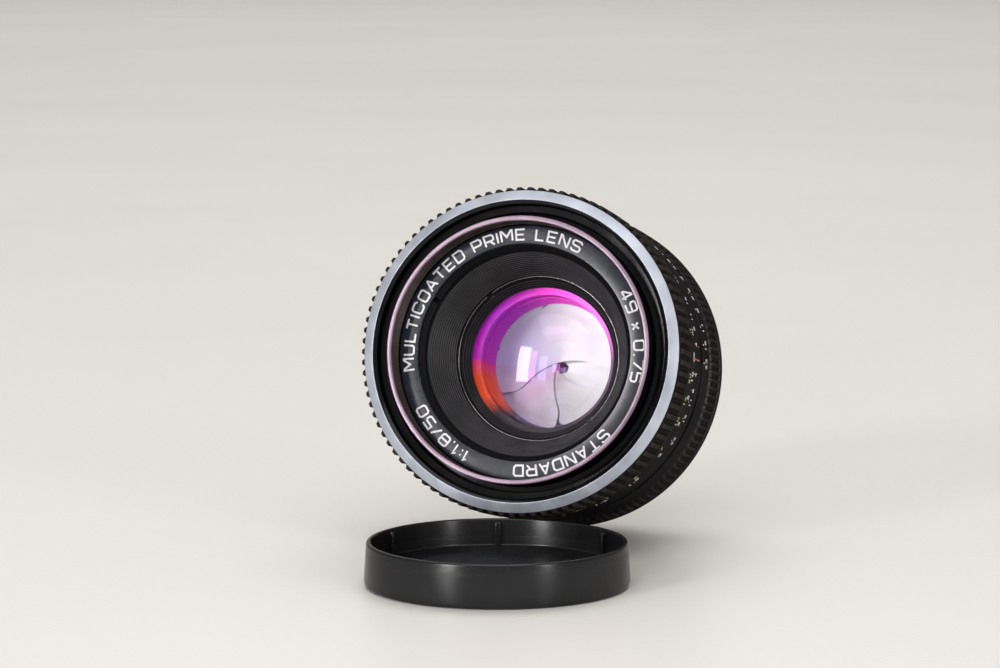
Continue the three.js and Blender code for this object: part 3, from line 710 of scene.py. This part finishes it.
def carry(name, obj, material, slot, body):
    """A visual piece with no CAD node of its own, such as painted numbers."""
    dress(obj, name, material, slot, body)


# ---------------------------------------------------------------- focusing group


def teeth(count, land, slope):
    """Cut of a straight knurl: 0 on a tooth and 1 in a groove. A tooth's middle is at the bottom."""

    def relief(angle, _):
        phase = ((angle + 90) * count / 360 + 0.5) % 1 - 0.5
        return np.clip((np.abs(phase) - land / 2) / slope, 0, 1)

    return relief


def make_bevel_ring():
    b = reach("front_bevel_ring")
    crest = 28.58
    wall, lip, lip_front, back, spigot = 27.7, b.inner, 1.9, 0.1, 28.3
    ring = turned([
        (crest, b.front), (b.outer, 0), (b.outer, back), (spigot, back), (spigot, b.rear),
        (lip, b.rear), (lip, lip_front), (wall, lip_front), (wall, b.front / 2),
    ], edge=0.1)
    stand_for(ring, GLOSS_BLACK, "front_bevel_ring", "bevel_ring_visual")
    repaint(ring, SATIN, lambda r, s: s < back + 0.05 and r > crest - 0.35)


def make_grip():
    g = reach("focus_grip")
    depth, chamfer = 0.62, 0.35
    outline = [
        (g.inner, g.front), (g.outer - chamfer, g.front, 0.5), (g.outer, g.front + chamfer, 1),
        (g.outer, g.rear - chamfer, 1), (g.outer - chamfer, g.rear, 0.5), (g.inner, g.rear),
    ]
    relief = teeth(94, 0.34, 0.18)
    grip = turned(outline, 0.1, 94 * 12, lambda a, s: depth * relief(a, s))
    stand_for(grip, GRIP_BLACK, "focus_grip")
    repaint(grip, GROOVE_BLACK, lambda r, s: r < g.outer - 0.5 * depth)


FOCUS_SCALE = {  # metres: degrees the ring turns from infinity
    "∞": 0, "10": 7.2, "5": 14.5, "3": 24.4, "2": 37.3, "1.5": 50.7, "1.2": 64.6, "1": 79, "0.8": 101.8,
    "0.7": 118.9, "0.6": 143.2, "0.5": 180, "0.45": 206.8, "0.4": 243.2, "0.35": 295.8,
}
FEET = {"30": 8, "15": 16.2, "10": 24, "7": 34.8, "5": 48.6, "4": 61.5, "3.5": 71.5, "3": 86, "2.5": 108, "2": 146,
        "1.75": 172, "1.5": 216, "1.2": 283}
INDEX_ANGLE = 2  # where the red index line is


def make_sleeve():
    f = reach("focus_sleeve")
    spigot, band_front, groove = 28.2, 8.9, 0.16
    sleeve = turned([
        (f.inner, f.front), (spigot, f.front), (spigot, band_front), (f.outer, band_front),
        (f.outer, band_front + 0.35), (f.outer - groove, band_front + 0.45),
        (f.outer - groove, band_front + 0.6),
        (f.outer, band_front + 0.7), (f.outer, f.rear), (f.inner, f.rear),
    ])
    stand_for(sleeve, BLACK, "focus_sleeve")
    feet, metres = [], []
    for text, turn in FEET.items():
        where = on_barrel(f.outer, INDEX_ANGLE - turn, band_front + 1.75)
        feet.append(letters(text, 1.25, where, stretch=1.15, weight=0.01))
    for text, turn in FOCUS_SCALE.items():
        where = on_barrel(f.outer, INDEX_ANGLE - turn, band_front + 3.8)
        metres.append(letters(text, 1.35, where, stretch=1.15, weight=0.01))
    feet.append(letters("ft", 1.1, on_barrel(f.outer, INDEX_ANGLE + 9, band_front + 1.75)))
    metres.append(letters("m", 1.3, on_barrel(f.outer, INDEX_ANGLE + 9, band_front + 3.8)))
    carry("feet_scale", merge(*feet), GREEN, "black_anodised", "focus_ring")
    carry("metre_scale", merge(*metres), WHITE, "black_anodised", "focus_ring")


def screw_cut(pitch, depth):
    """Cut of a screw thread with rounded crests."""

    def relief(angle, s):
        phase = ((s - angle / 360 * pitch) / pitch) % 1
        return depth * (0.5 - 0.5 * np.cos(2 * math.pi * phase))

    return relief


def threaded(radius, front, rear, pitch, per_turn=8):
    """Outline points along a threaded stretch, from front to rear or from rear to front."""
    count = max(2, int(abs(rear - front) / pitch * per_turn))
    return [(radius, front + (rear - front) * i / count, 1 if 0 < i < count else 0) for i in range(count + 1)]


def make_helicoid():
    h = reach("focus_helicoid")
    outline = [(h.inner, h.front), (h.outer, h.front)] + threaded(h.outer, h.front + 0.4, h.rear - 0.4, 1.2)
    outline += [(h.outer, h.rear), (h.inner, h.rear)]
    ring = turned(outline, 0.05, relief=screw_cut(1.2, 0.3))
    stand_for(ring, BRASS, "focus_helicoid")


# ---------------------------------------------------------------- optical group


def make_filter_barrel():
    f = reach("filter_barrel")
    bore, outer, flange, flange_front, flange_rear = 24.3, 25.2, f.outer, 3.4, 4.8
    seat, seat_bore, skirt_front, skirt, cone_rear = 4.5, 21.4, 8.2, 21.7, 7.0
    thread_depth, pitch, lead = 0.32, 0.75, 0.55
    outline = [
        (bore, f.front), (outer, f.front), (outer, flange_front), (flange, flange_front),
        (flange, flange_rear),
        (outer, flange_rear), (outer, skirt_front), (skirt, skirt_front), (skirt, f.rear),
        (f.inner, f.rear),
        (f.inner, cone_rear), (seat_bore, seat), (bore, seat),
    ]
    outline += threaded(bore, seat - 2.4, f.front + lead, pitch)
    ring = turned(outline, 0.2, relief=lambda a, s: -screw_cut(pitch, thread_depth)(a, s))
    stand_for(ring, GLOSS_BLACK, "filter_barrel")
    repaint(ring, THREAD, lambda r, s: r < bore + 0.4 and s < seat)
    # Pale mauve front rim: a painted highlight, in part also worn edge.
    repaint(ring, RIM_PAINTED_HIGHLIGHT, lambda r, s: s < f.front + 0.16)


RING_TEXT = [  # text, angle of its middle
    ("MULTICOATED PRIME LENS", 127), ("49 x 0.75", 10), ("STANDARD", -66), ("1:1.8/50", 227),
]


def make_name_ring():
    n = reach("name_ring")
    ring = turned(tube(n.inner, n.outer, n.front, n.rear), 0.12)
    stand_for(ring, NAME_PLATE, "name_ring")
    middle, height = (n.inner + n.outer) / 2, 1.95
    words = [
        engraved(text, height, on_ring(middle, angle, n.front))
        for i, (text, angle) in enumerate(RING_TEXT)
    ]
    carry("ring_lettering", merge(*words), WHITE, "name_plate", "optics")


def grooves_between(start, end, count, depth):
    """Fine turned V grooves along a straight stretch of the outline."""
    points = []
    for i in range(count):
        for share, sunk in ((0.0, 0), (0.15, 0), (0.6, depth)):
            t = (i + share) / count
            points.append((start[0] + (end[0] - start[0]) * t + sunk, start[1] + (end[1] - start[1]) * t))
    return points


def make_baffle():
    b = reach("baffle_cone")
    mouth, throat, wall, flange_rear = 20.3, b.inner, 0.8, 4.2
    band = (mouth - 0.55, b.front + 0.9)
    outline = [
        (mouth + 0.25, b.front), (b.outer, b.front), (b.outer, flange_rear),
        (mouth + wall, flange_rear),
        (throat + wall, b.rear), (throat, b.rear),
    ]
    first, last, count = b.rear - 0.4, band[1] + 0.9, 13
    grooves = grooves_between((throat, first), (band[0] - 0.35, last), count, 0.3)
    outline += grooves + [band, (mouth, b.front + 0.35)]
    cone = turned(outline, 0.02)
    notch = block(mouth - 2.2, mouth + 0.35, 0.9, b.front - 1, b.front + 1.6, 152)
    # The paler groove edges are painted highlights.
    look = painted_groove_highlight_finish("baffle_painted_groove_highlights", first, last, count, (0.0055, 0.0053, 0.006), (0.060, 0.058, 0.064))
    stand_for(carve(cone, notch), look, "baffle_cone")


def make_front_retainer():
    r = reach("front_retaining_ring")
    edge, throat = 15.7, r.inner
    slot_inner, slot_width, slot_depth = 15.0, 1.2, 1.0
    first, last, count = r.rear - 0.3, r.front + 0.5, 4
    grooves = grooves_between((throat, first), (edge - 0.35, last), count, 0.2)
    outline = [(edge, r.front), (r.outer, r.front), (r.outer, r.rear), (throat, r.rear)] + grooves
    ring = turned(outline, 0.04)
    cutters = [
        block(slot_inner, r.outer + 1, slot_width, r.front - 1, r.front + slot_depth, a)
        for a in (131, 312)
    ]
    # The paler groove edges are painted highlights.
    look = painted_groove_highlight_finish("retainer_painted_groove_highlights", first, last, count, (0.010, 0.0095, 0.010), (0.05, 0.048, 0.052))
    stand_for(carve(ring, *cutters), look, "front_retaining_ring")
    repaint(ring, STEEL, lambda radius, s: s < r.front + 0.3 and edge - 0.4 < radius < edge + 0.2)


# The deep red of the fourth element's body is painted shade, tinted red, for the hole through the iris.
CLEAR, DEEP_RED_PAINTED_SHADE = (1, 1, 1), (0.16, 0.012, 0.035)
# An element's front and rear radii (positive when the centre lies behind, 0 when flat), the clear radii of
# its curved faces where they are smaller than the element, the colour and strength of its film, and its body.
ELEMENTS = {
    "front_element": (30, 90, None, None, (0.85, 0.75, 1.0), 0.02, CLEAR),
    "second_element": (20, 50, None, None, (0.9, 0.30, 0.95), 0.025, CLEAR),
    "third_element": (60, 14, None, 9.0, (0.5, 0.4, 1.0), 0.03, CLEAR),
    # Its deep red body is painted shade seen through the hole of the iris.
    "fourth_element": (-18, 0, 8.9, None, (0.9, 0.4, 0.3), 0.02, DEEP_RED_PAINTED_SHADE),
    "fifth_element": (0, -22, None, None, (0.9, 0.6, 0.3), 0.02, CLEAR),
    "sixth_element": (60, -38, None, None, (0.7, 0.4, 1.0), 0.04, CLEAR),
}
GLASS_STEPS = 20


def glass_side(vertex, radius, clear):
    count = GLASS_STEPS if radius else 1
    points = []
    for i in range(count + 1):
        r = clear * i / count
        sag = math.copysign(abs(radius) - math.sqrt(radius**2 - r**2), radius) if radius else 0
        points.append((r, vertex + sag))
    return points


VERTEX = {  # s of the front and rear vertex
    "front_element": (14.8, 19.4), "second_element": (19.8, 24.8), "third_element": (25.8, 27.6),
    "fourth_element": (36.4, 37.7), "fifth_element": (37.8, 41.8), "sixth_element": (42.1, 45.1),
}


def make_elements():
    for name, shape in ELEMENTS.items():
        front_radius, rear_radius, front_clear, rear_clear, tint, strength, body = shape
        edge = reach(name).outer
        front = glass_side(VERTEX[name][0], front_radius, front_clear or edge)
        rear = glass_side(VERTEX[name][1], rear_radius, rear_clear or edge)
        if front_clear:
            front.append((edge, front[-1][1]))
        if rear_clear:
            rear.append((edge, rear[-1][1]))
        glass = turned(front + rear[::-1], 0.0, 160, closed=False)
        stand_for(glass, glass_finish(f"coated_{name}", tint, strength, body), name)
        # The three front elements get rims of painted coating reflection that glow; the others a black ground
        # edge.
        rim = PAINTED_REFLECTION_GLOW if name in ("front_element", "second_element", "third_element") else EDGE_BLACK
        repaint(glass, rim, lambda r, s: r > edge - 0.02)


def make_element_spacer():
    n = reach("element_spacer")
    ring = turned(tube(n.inner, n.outer, n.front, n.rear), 0.05)
    # The spacer is painted with coating reflections, painted shade and a glow.
    stand_for(ring, PAINTED_REFLECTION_GLOW, "element_spacer")


def make_lens_block():
    b = reach("lens_block")
    front_bore, throat, throat_rear, ring_bore, ring_rear = 19.0, 17.2, 13.9, 16.9, 18.4
    pocket, seat, element_bore, shoulder, iris_bore = 15.3, 21.0, 12.5, 31.0, 19.4
    tube_piece = turned([
        (front_bore, b.front), (b.outer, b.front), (b.outer, b.rear), (iris_bore, b.rear),
        (iris_bore, shoulder),
        (element_bore, shoulder), (element_bore, seat), (pocket, seat), (pocket, ring_rear),
        (ring_bore, ring_rear),
        (ring_bore, throat_rear), (throat, throat_rear),
    ], 0.08)
    stand_for(tube_piece, BLACK, "lens_block")
    # The bore walls round the inner elements: painted coating reflections and painted shade that glow.
    repaint(tube_piece, PAINTED_REFLECTION_GLOW, lambda r, s: r < pocket + 0.2 and ring_rear - 0.2 < s < shoulder)


def make_rear_cell():
    c = reach("rear_cell")
    bore, nose, flange_front, flange_rear, outer = c.inner, 12.0, 35.1, 35.8, 13.2
    pocket, pocket_front = 10.8, 42.7
    cell = turned([
        (bore, c.front), (nose, c.front), (nose, flange_front), (c.outer, flange_front),
        (c.outer, flange_rear),
        (outer, flange_rear), (outer, c.rear), (pocket, c.rear), (pocket, pocket_front),
        (bore, pocket_front),
    ], 0.15)
    stand_for(cell, BLACK, "rear_cell")
    r = reach("rear_retaining_ring")
    ring = turned([
        (r.inner, r.front), (r.outer, r.front), (r.outer, r.rear), (r.inner + 0.5, r.rear),
        (r.inner, r.rear - 0.4),
    ], 0.08)
    cutters = [block(r.inner - 1, r.outer - 0.3, 0.8, r.rear - 0.5, r.rear + 1, a) for a in (40, 220)]
    stand_for(carve(ring, *cutters), BAFFLE, "rear_retaining_ring")


# ---------------------------------------------------------------- iris

PIVOT_RADIUS, BLADE_SWING, BLADE_COUNT = 17.2, 31.5, 6


def arc(radius, start, end, count, middle=(0, 0)):
    points = []
    for i in range(count + 1):
        x, z = polar(radius, start + (end - start) * i / count)
        points.append((middle[0] + x, middle[1] + z))
    return points


def make_diaphragm_plate():
    n = reach("diaphragm_plate")
    ring = turned(tube(n.inner, n.outer, n.front, n.rear), 0.05)
    holes = [
        rod(0.6, n.front - 1, n.rear + 1, PIVOT_RADIUS, 360 / BLADE_COUNT * i)
        for i in range(BLADE_COUNT)
    ]
    stand_for(carve(ring, *holes), BAFFLE, "diaphragm_plate")
    # The front face inside the pivots: painted coating reflections and painted shade that glow.
    repaint(ring, PAINTED_REFLECTION_GLOW, lambda r, s: r < PIVOT_RADIUS and s < n.rear - 0.1)


def make_blades():
    inner, outer, heel, span = 10.2, 16.6, -4, 112
    lever_length, lever_angle, boss = 1.8, -93, 0.7
    middle, half = (inner + outer) / 2, (outer - inner) / 2
    for i in range(BLADE_COUNT):
        node = f"iris_blade_{i + 1}"
        n = reach(node)
        front, thickness = 31.9 + 0.33 * i, 0.10
        rear = front + thickness
        leaf = arc(outer, heel, span, 48) + arc(half, span, span + 180, 16, polar(middle, span))[1:-1]
        leaf += arc(inner, span, heel, 64)
        drive = (PIVOT_RADIUS + polar(lever_length, lever_angle)[0], polar(lever_length, lever_angle)[1])
        lever = arc(boss, 0, 180, 12, (PIVOT_RADIUS, 0)) + arc(boss, 180, 360, 12, drive)
        piece = merge(
            plate(leaf, front, rear),
            plate(lever, front + 0.01, rear + 0.03),
            rod(0.3, n.front, rear, PIVOT_RADIUS, 0),
            rod(0.3, front, n.rear, math.hypot(*drive), math.degrees(math.atan2(drive[1], drive[0]))),
        )
        pivot = Matrix.Translation((PIVOT_RADIUS * MM, 0, 0))
        swing = Matrix.Rotation(math.radians(-BLADE_SWING), 4, "Y")
        piece.data.transform(pivot @ swing @ pivot.inverted())
        spin(piece, 360 / BLADE_COUNT * i)
        # The leaves' colour holds painted light: a painted highlight, painted shade and painted coating
        # reflections.
        stand_for(piece, BLADE_PAINTED_LIGHT, node)
        # The side faces of the leaves are painted near black: painted shade along the lines where the leaves
        # overlap.
        piece.data.materials.append(BLADE_EDGE_PAINTED_SHADE)
        for face in piece.data.polygons:
            if abs(face.normal.y) < 0.5:
                face.material_index = 1


# ---------------------------------------------------------------- fixed barrel


def make_fixed_barrel():
    b = reach("fixed_barrel")
    bore, guide, nest_front, nest, shelf, shelf_front = b.inner, 23.4, 22.4, 26.0, 27.8, 14.9
    collar_front, collar_rear, bearing = 21.9, 23.1, 26.6
    body = turned([
        (bore, b.front), (guide, b.front), (guide, nest_front), (nest, nest_front), (nest, shelf_front),
        (shelf, shelf_front), (shelf, collar_front), (b.outer, collar_front), (b.outer, collar_rear),
        (bearing, collar_rear), (bearing, b.rear), (bore, b.rear),
    ])
    slots = [block(bore - 1, guide + 0.2, 3.6, b.front - 1, 23.8, a) for a in (90, 270)]
    stand_for(carve(body, *slots), BLACK, "fixed_barrel")


DEPTH_MARKS = {"4": 5.5, "8": 11.4, "11": 15.8, "16": 22, "22": 31}


def make_depth_ring():
    r = reach("depth_of_field_ring")
    ring = turned([
        (r.inner, r.front), (r.outer, r.front), (r.outer, r.front + 0.9),
        (r.outer - 0.12, r.front + 1.0),
        (r.outer - 0.12, r.rear - 1.0), (r.outer, r.rear - 0.9), (r.outer, r.rear), (r.inner, r.rear),
    ], 0.15)
    stand_for(ring, BLACK, "depth_of_field_ring")
    face = r.outer - 0.12
    numbers = []
    for text, offset in DEPTH_MARKS.items():
        for side in (-1, 1):
            angle = INDEX_ANGLE + side * offset
            numbers.append(letters(text, 1.3, on_barrel(face, angle, r.front + 3.3)))
            numbers.append(mark(face, angle, r.front + 1.2, r.front + 2.2, 0.18))
    carry("depth_scale", merge(*numbers), WHITE, "black_anodised", "barrel")
    index = merge(
        mark(face, INDEX_ANGLE, r.front + 1.1, r.front + 2.9, 0.35),
        mark(face, INDEX_ANGLE, r.rear - 3.0, r.rear - 1.1, 0.35),
        mark(face, INDEX_ANGLE + 5, r.front + 4.6, r.front + 5.6, 0.2),
    )
    carry("index_marks", index, RED, "black_anodised", "barrel")


def make_set_screws():
    radius, slot = 0.75, 0.3
    for i, angle in enumerate((60, 180, 300)):
        n = reach(f"index_set_screw_{i + 1}")
        s = (n.front + n.rear) / 2
        outline = [(0, n.inner), (radius, n.inner), (radius, n.outer), (0, n.outer)]
        screw = turned(outline, 0.08, 40, closed=False)
        carve(screw, screw_slot(slot, n.outer - slot, n.outer + 1))
        upright = Matrix.Rotation(math.radians(-90), 4, "Z")
        screw.data.transform(Matrix.Translation((0, s * MM, 0)) @ upright)
        stand_for(spin(screw, angle), BLUED, f"index_set_screw_{i + 1}")


MOUNT_SCREW_ANGLES = (30, 150, 270)
MOUNT_SCREW_RADIUS = 24.4
PIN_RADIUS, PIN_ANGLE = 17.0, 270


def make_mount_plate():
    m = reach("mount_plate")
    face, edge_front, edge_rear, step_rear, flange, flange_rear = 30.6, 38.0, 39.1, 39.5, 28.5, 40.5
    skirt, web_front, web_rear, cavity, crest = 19.3, 40.2, 41.4, 22.0, 21.0
    outline = [
        (cavity, m.front), (face, m.front), (m.outer, edge_front), (m.outer, edge_rear),
        (face, step_rear),
        (flange, step_rear), (flange, flange_rear), (crest - 0.5, flange_rear),
    ]
    outline += threaded(crest, flange_rear + 0.4, m.rear - 0.3, 1.0)
    outline += [
        (crest - 0.4, m.rear), (skirt, m.rear), (skirt, web_rear), (m.inner, web_rear),
        (m.inner, web_front), (cavity, web_front),
    ]
    body = turned(outline, 0.12, relief=screw_cut(1.0, 0.6))
    cutters = [rod(1.55, web_front - 1, web_rear + 1, PIN_RADIUS, PIN_ANGLE)]
    for angle in MOUNT_SCREW_ANGLES:
        cutters.append(rod(0.95, m.front - 1, flange_rear + 1, MOUNT_SCREW_RADIUS, angle))
        cutters.append(rod(1.75, 39.0, flange_rear + 1, MOUNT_SCREW_RADIUS, angle))
    stand_for(carve(body, *cutters), BLACK, "mount_plate")
    repaint(body, STEEL, lambda r, s: s > flange_rear + 0.02 and skirt + 0.2 < r < flange)


def make_mount_screws():
    shank, head, neck, rim, slot = 0.6, 1.4, 39.2, 40.1, 0.35
    for i, angle in enumerate(MOUNT_SCREW_ANGLES):
        n = reach(f"mount_screw_{i + 1}")
        outline = [(0, n.front), (shank, n.front), (shank, neck), (head, rim), (head, n.rear), (0, n.rear)]
        screw = turned(outline, 0.08, 40, closed=False)
        carve(screw, screw_slot(slot, n.rear - slot, n.rear + 1))
        screw.data.transform(Matrix.Translation((MOUNT_SCREW_RADIUS * MM, 0, 0)))
        stand_for(spin(screw, angle), STEEL, f"mount_screw_{i + 1}")


def make_stop_down_pin():
    n = reach("stop_down_pin")
    outer, bore, collar, collar_rear, bore_rear, shoulder, tip = 1.25, 0.85, 1.9, 39.9, 44.0, 45.4, 0.9
    body = turned([
        (0, bore_rear), (bore, bore_rear), (bore, n.front), (collar, n.front), (collar, collar_rear),
        (outer, collar_rear), (outer, shoulder), (tip, n.rear), (0, n.rear),
    ], 0.08, 48, closed=False)
    body.data.transform(Matrix.Translation((PIN_RADIUS * MM, 0, 0)))
    stand_for(spin(body, PIN_ANGLE), STEEL, "stop_down_pin")


def make_pin_spring():
    radius, wire, start, end, turns, steps, sides, travel = 0.55, 0.11, 37.05, 43.8, 7, 24, 8, 2.5
    verts, faces = [], []
    count = turns * steps
    for i in range(count + 1):
        turn = 360 * i / steps
        s = start + wire + (end - start - 2 * wire) * i / count
        for j in range(sides):
            across, along = polar(wire, 360 * j / sides)
            x, z = polar(radius + across, turn)
            verts.append((x, s + along, z))
    for i in range(count):
        here, there = i * sides, (i + 1) * sides
        faces += [(here + j, here + (j + 1) % sides, there + (j + 1) % sides, there + j) for j in range(sides)]
    faces += [tuple(range(sides)), tuple(range(len(verts) - 1, len(verts) - sides - 1, -1))]
    spring = make_object(verts, faces)
    spring.data.transform(Matrix.Translation((PIN_RADIUS * MM, 0, 0)))
    stand_for(spin(spring, PIN_ANGLE), STEEL, "pin_spring")
    x, z = polar(PIN_RADIUS, PIN_ANGLE)
    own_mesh(spring)


def make_selector():
    n = reach("mode_selector")
    angle, span, ridges = 150, 8, 5
    low, high = angle - span / 2, angle + span / 2
    shape = arc(n.outer, low, high, 24) + arc(n.inner, high, low, 24)
    lever = plate(shape, n.front, n.rear)
    cuts = []
    for i in range(ridges):
        where = angle + (i - (ridges - 1) / 2) * span / (ridges + 1)
        cuts.append(block(n.outer - 0.25, n.outer + 1, 0.28, n.front - 1, n.rear + 1, where))
    stand_for(carve(lever, *cuts), GRIP_BLACK, "mode_selector")
    r = reach("depth_of_field_ring")
    face = r.outer - 0.12
    labels = [letters("A", 1.3, on_barrel(face, angle - 7, r.rear - 2.6)),
              letters("M", 1.3, on_barrel(face, angle + 17, r.rear - 2.6))]
    carry("mode_labels", merge(*labels), WHITE, "black_anodised", "barrel")


# ---------------------------------------------------------------- aperture ring

STOPS = ["22", "16", "11", "8", "5.6", "4", "2.8", "1.8"]


def make_aperture_ring():
    a = reach("aperture_ring")
    bore, band, band_rear, knurl_front, knurl_rear = a.inner, 30.3, 29.4, 30.6, 37.1
    groove_front, groove_rear, groove, depth, chamfer = 25.8, 28.2, 27.7, 0.42, 0.3
    relief = teeth(124, 0.3, 0.2)
    ring = turned([
        (bore, a.front), (band, a.front), (band, a.front + 0.5), (band - 0.12, a.front + 0.6),
        (band - 0.12, band_rear - 0.6), (band, band_rear - 0.5), (band, band_rear),
        (band - 0.45, band_rear + 0.4),
        (band - 0.45, knurl_front - 0.4), (a.outer - chamfer, knurl_front, 0.5),
        (a.outer, knurl_front + chamfer, 1),
        (a.outer, knurl_rear - chamfer, 1), (a.outer - chamfer, knurl_rear, 0.5), (band, a.rear),
        (bore, a.rear),
        (bore, groove_rear), (groove, groove_rear), (groove, groove_front), (bore, groove_front),
    ], 0.1, 124 * 9, lambda angle, s: depth * relief(angle, s))
    stand_for(ring, BLACK, "aperture_ring")
    repaint(ring, GROOVE_BLACK, lambda r, s: r < a.outer - 0.5 * depth and knurl_front < s < knurl_rear)
    face = band - 0.12
    turn = joint("aperture_turn")["range_deg"][1] / (len(STOPS) - 1)
    numbers = []
    for i, text in enumerate(STOPS):
        angle = INDEX_ANGLE + i * turn
        numbers.append(letters(text, 1.5, on_barrel(face, angle, a.front + 3.6), stretch=1.05))
        numbers.append(mark(face, angle, a.front + 0.9, a.front + 1.8, 0.22))
    carry("aperture_scale", merge(*numbers), WHITE, "black_anodised", "aperture_ring")


# ---------------------------------------------------------------- rear cap


def make_cap():
    c = reach("rear_cap", CAP)
    bore, floor, recess, recess_depth, draft = 22.7, 3.0, 20.0, 1.2, 0.4
    ribs, first_rib, rib_width, rib_inner, rib_top = 6, 104.45, 1.2, 21.7, 7.5
    shell = turned([
        (0, recess_depth), (recess, recess_depth), (recess, 0), (c.outer - 0.9, 0),
        (c.outer - 0.25, 0.25),
        (c.outer, 0.95), (c.outer - draft, c.rear - 0.3), (c.outer - draft - 0.2, c.rear),
        (bore, c.rear),
        (bore, floor),
        (rib_inner - 0.6, floor), (rib_inner - 0.9, floor - 0.12), (0, floor - 0.12),
    ], 0.3, place=CAP, closed=False)
    pieces = []
    for i in range(ribs):
        angle = -(first_rib + i * 360 / ribs)
        rib = block(rib_inner, bore + 0.3, rib_width, floor - 0.4, rib_top, angle, CAP)
        soften = rib.modifiers.new("soften", "BEVEL")
        soften.width = 0.3 * MM
        soften.segments = 3
        rib.data = applied(rib)
        rib.modifiers.clear()
        pieces.append(rib)
    stand_for(merge(shell, *pieces), PLASTIC, "rear_cap")


# ---------------------------------------------------------------- CAD pieces that stay

KEPT = {
    "guide_key_1": BRASS, "guide_key_2": BRASS,
    "cam_ring": BRASS, "click_ball": STEEL, "click_spring": STEEL, "pin_bracket": STEEL, "aperture_fork": STEEL,
}


def dress_kept():
    for name, material in KEPT.items():
        obj = frame["nodes"][name]
        for slot in obj.material_slots:
            slot.material = material


# ---------------------------------------------------------------- stage

CAMERA_AHEAD, CAMERA_ASIDE, CAMERA_HEIGHT = 0.6281, 0.1616, 0.1207
CAMERA_YAW, CAMERA_PITCH, CAMERA_LENS = 14.76, 6.93, 125.75


def make_floor():
    """A pale floor that curves up into a far backdrop."""
    g = Graph("pale_floor")
    tone = g.mix(g.drifting(3, 4, 0.3, 0.7), (0.66, 0.645, 0.62), (0.70, 0.685, 0.66))
    shine, normal = g.grain(900, 0.32, 0.42, 0.05, 0.0001)
    look = g.finish(g.shader(tone, shine, 0.0, normal))
    half, back, curve, wall = 4.0, 4.5, 1.0, 3.0
    profile = [(-4.0, 0.0)]
    for i in range(25):
        angle = math.radians(90 * i / 24)
        profile.append((back + curve * math.sin(angle), curve * (1 - math.cos(angle))))
    profile.append((back + curve, wall))
    verts = [(x, y, z) for y, z in profile for x in (-half, half)]
    faces = [(2 * i, 2 * i + 1, 2 * i + 3, 2 * i + 2) for i in range(len(profile) - 1)]
    mesh = bpy.data.meshes.new("floor")
    mesh.from_pydata(verts, [], faces)
    mesh.polygons.foreach_set("use_smooth", [True] * len(faces))
    mesh.materials.append(look)
    floor = new_object("floor", mesh)
    floor.rotation_euler[2] = math.radians(CAMERA_YAW)


def area_light(name, target, azimuth, elevation, distance, size, power, colour):
    """A soft box that looks at target. Azimuth is from the camera's side, positive to its right."""
    heading = math.radians(azimuth + CAMERA_YAW)
    up = math.radians(elevation)
    away = Vector((math.sin(heading) * math.cos(up), -math.cos(heading) * math.cos(up), math.sin(up)))
    data = bpy.data.lights.new(name, "AREA")
    data.shape = "RECTANGLE"
    data.size, data.size_y = size
    data.energy = power
    data.color = colour
    lamp = new_object(name, data)
    lamp.location = target + away * distance
    lamp.rotation_euler = away.to_track_quat("Z", "Y").to_euler()
    return lamp


LIGHTS = {  # azimuth, elevation, distance and size in metres, power, colour
    "window_left": (-42, 12, 1.1, (0.18, 0.50), 6.5, (1.0, 0.98, 0.97)),
    "window_right": (42, 12, 1.1, (0.14, 0.50), 2.4, (1.0, 0.98, 0.97)),
    "front_fill": (-17, 11, 1.2, (0.15, 0.15), 2.4, (0.98, 0.98, 1.0)),
    "ceiling_front": (0, 55, 1.5, (1.4, 0.9), 9.5, (1.0, 0.98, 0.97)),
    "overhead": (175, 65, 1.7, (1.4, 0.9), 8.5, (1.0, 0.98, 0.95)),
}
WORLD_COLOUR, WORLD_STRENGTH = (0.95, 0.93, 0.90, 1), 0.38


def make_lights():
    lamps = {name: area_light(name, CENTRE, *setting) for name, setting in LIGHTS.items()}
    lamps["front_fill"].visible_glossy = False
    far = Matrix.Rotation(math.radians(CAMERA_YAW), 3, "Z") @ Vector((0, 2.9, 0))
    area_light("backdrop_wash", CENTRE + far, 0, 88, 2.6, (3.4, 3.4), 62, (1.0, 0.98, 0.96))
    world = bpy.data.worlds.new("studio")
    world.use_nodes = True
    background = world.node_tree.nodes["Background"]
    background.inputs[0].default_value = WORLD_COLOUR
    background.inputs[1].default_value = WORLD_STRENGTH
    bpy.context.scene.world = world


def make_camera():
    data = bpy.data.cameras.new("camera")
    data.sensor_width = 36
    data.lens = CAMERA_LENS
    data.clip_start, data.clip_end = 0.01, 50
    camera = new_object("camera", data)
    camera.location = (CENTRE.x + CAMERA_ASIDE, CENTRE.y - CAMERA_AHEAD, CAMERA_HEIGHT)
    camera.rotation_euler = (math.radians(90 - CAMERA_PITCH), 0, math.radians(CAMERA_YAW))
    bpy.context.scene.camera = camera


for make in (
    make_camera, make_bevel_ring, make_grip, make_sleeve, make_helicoid, make_filter_barrel,
    make_name_ring, make_baffle, make_front_retainer, make_elements, make_element_spacer,
    make_lens_block, make_rear_cell, make_diaphragm_plate, make_blades, make_fixed_barrel,
    make_depth_ring, make_set_screws, make_mount_plate, make_mount_screws, make_stop_down_pin,
    make_pin_spring, make_selector, make_aperture_ring, make_cap, dress_kept, make_floor,
    make_lights,
):
    make()
bpy.context.scene.view_settings.view_transform = "Standard"
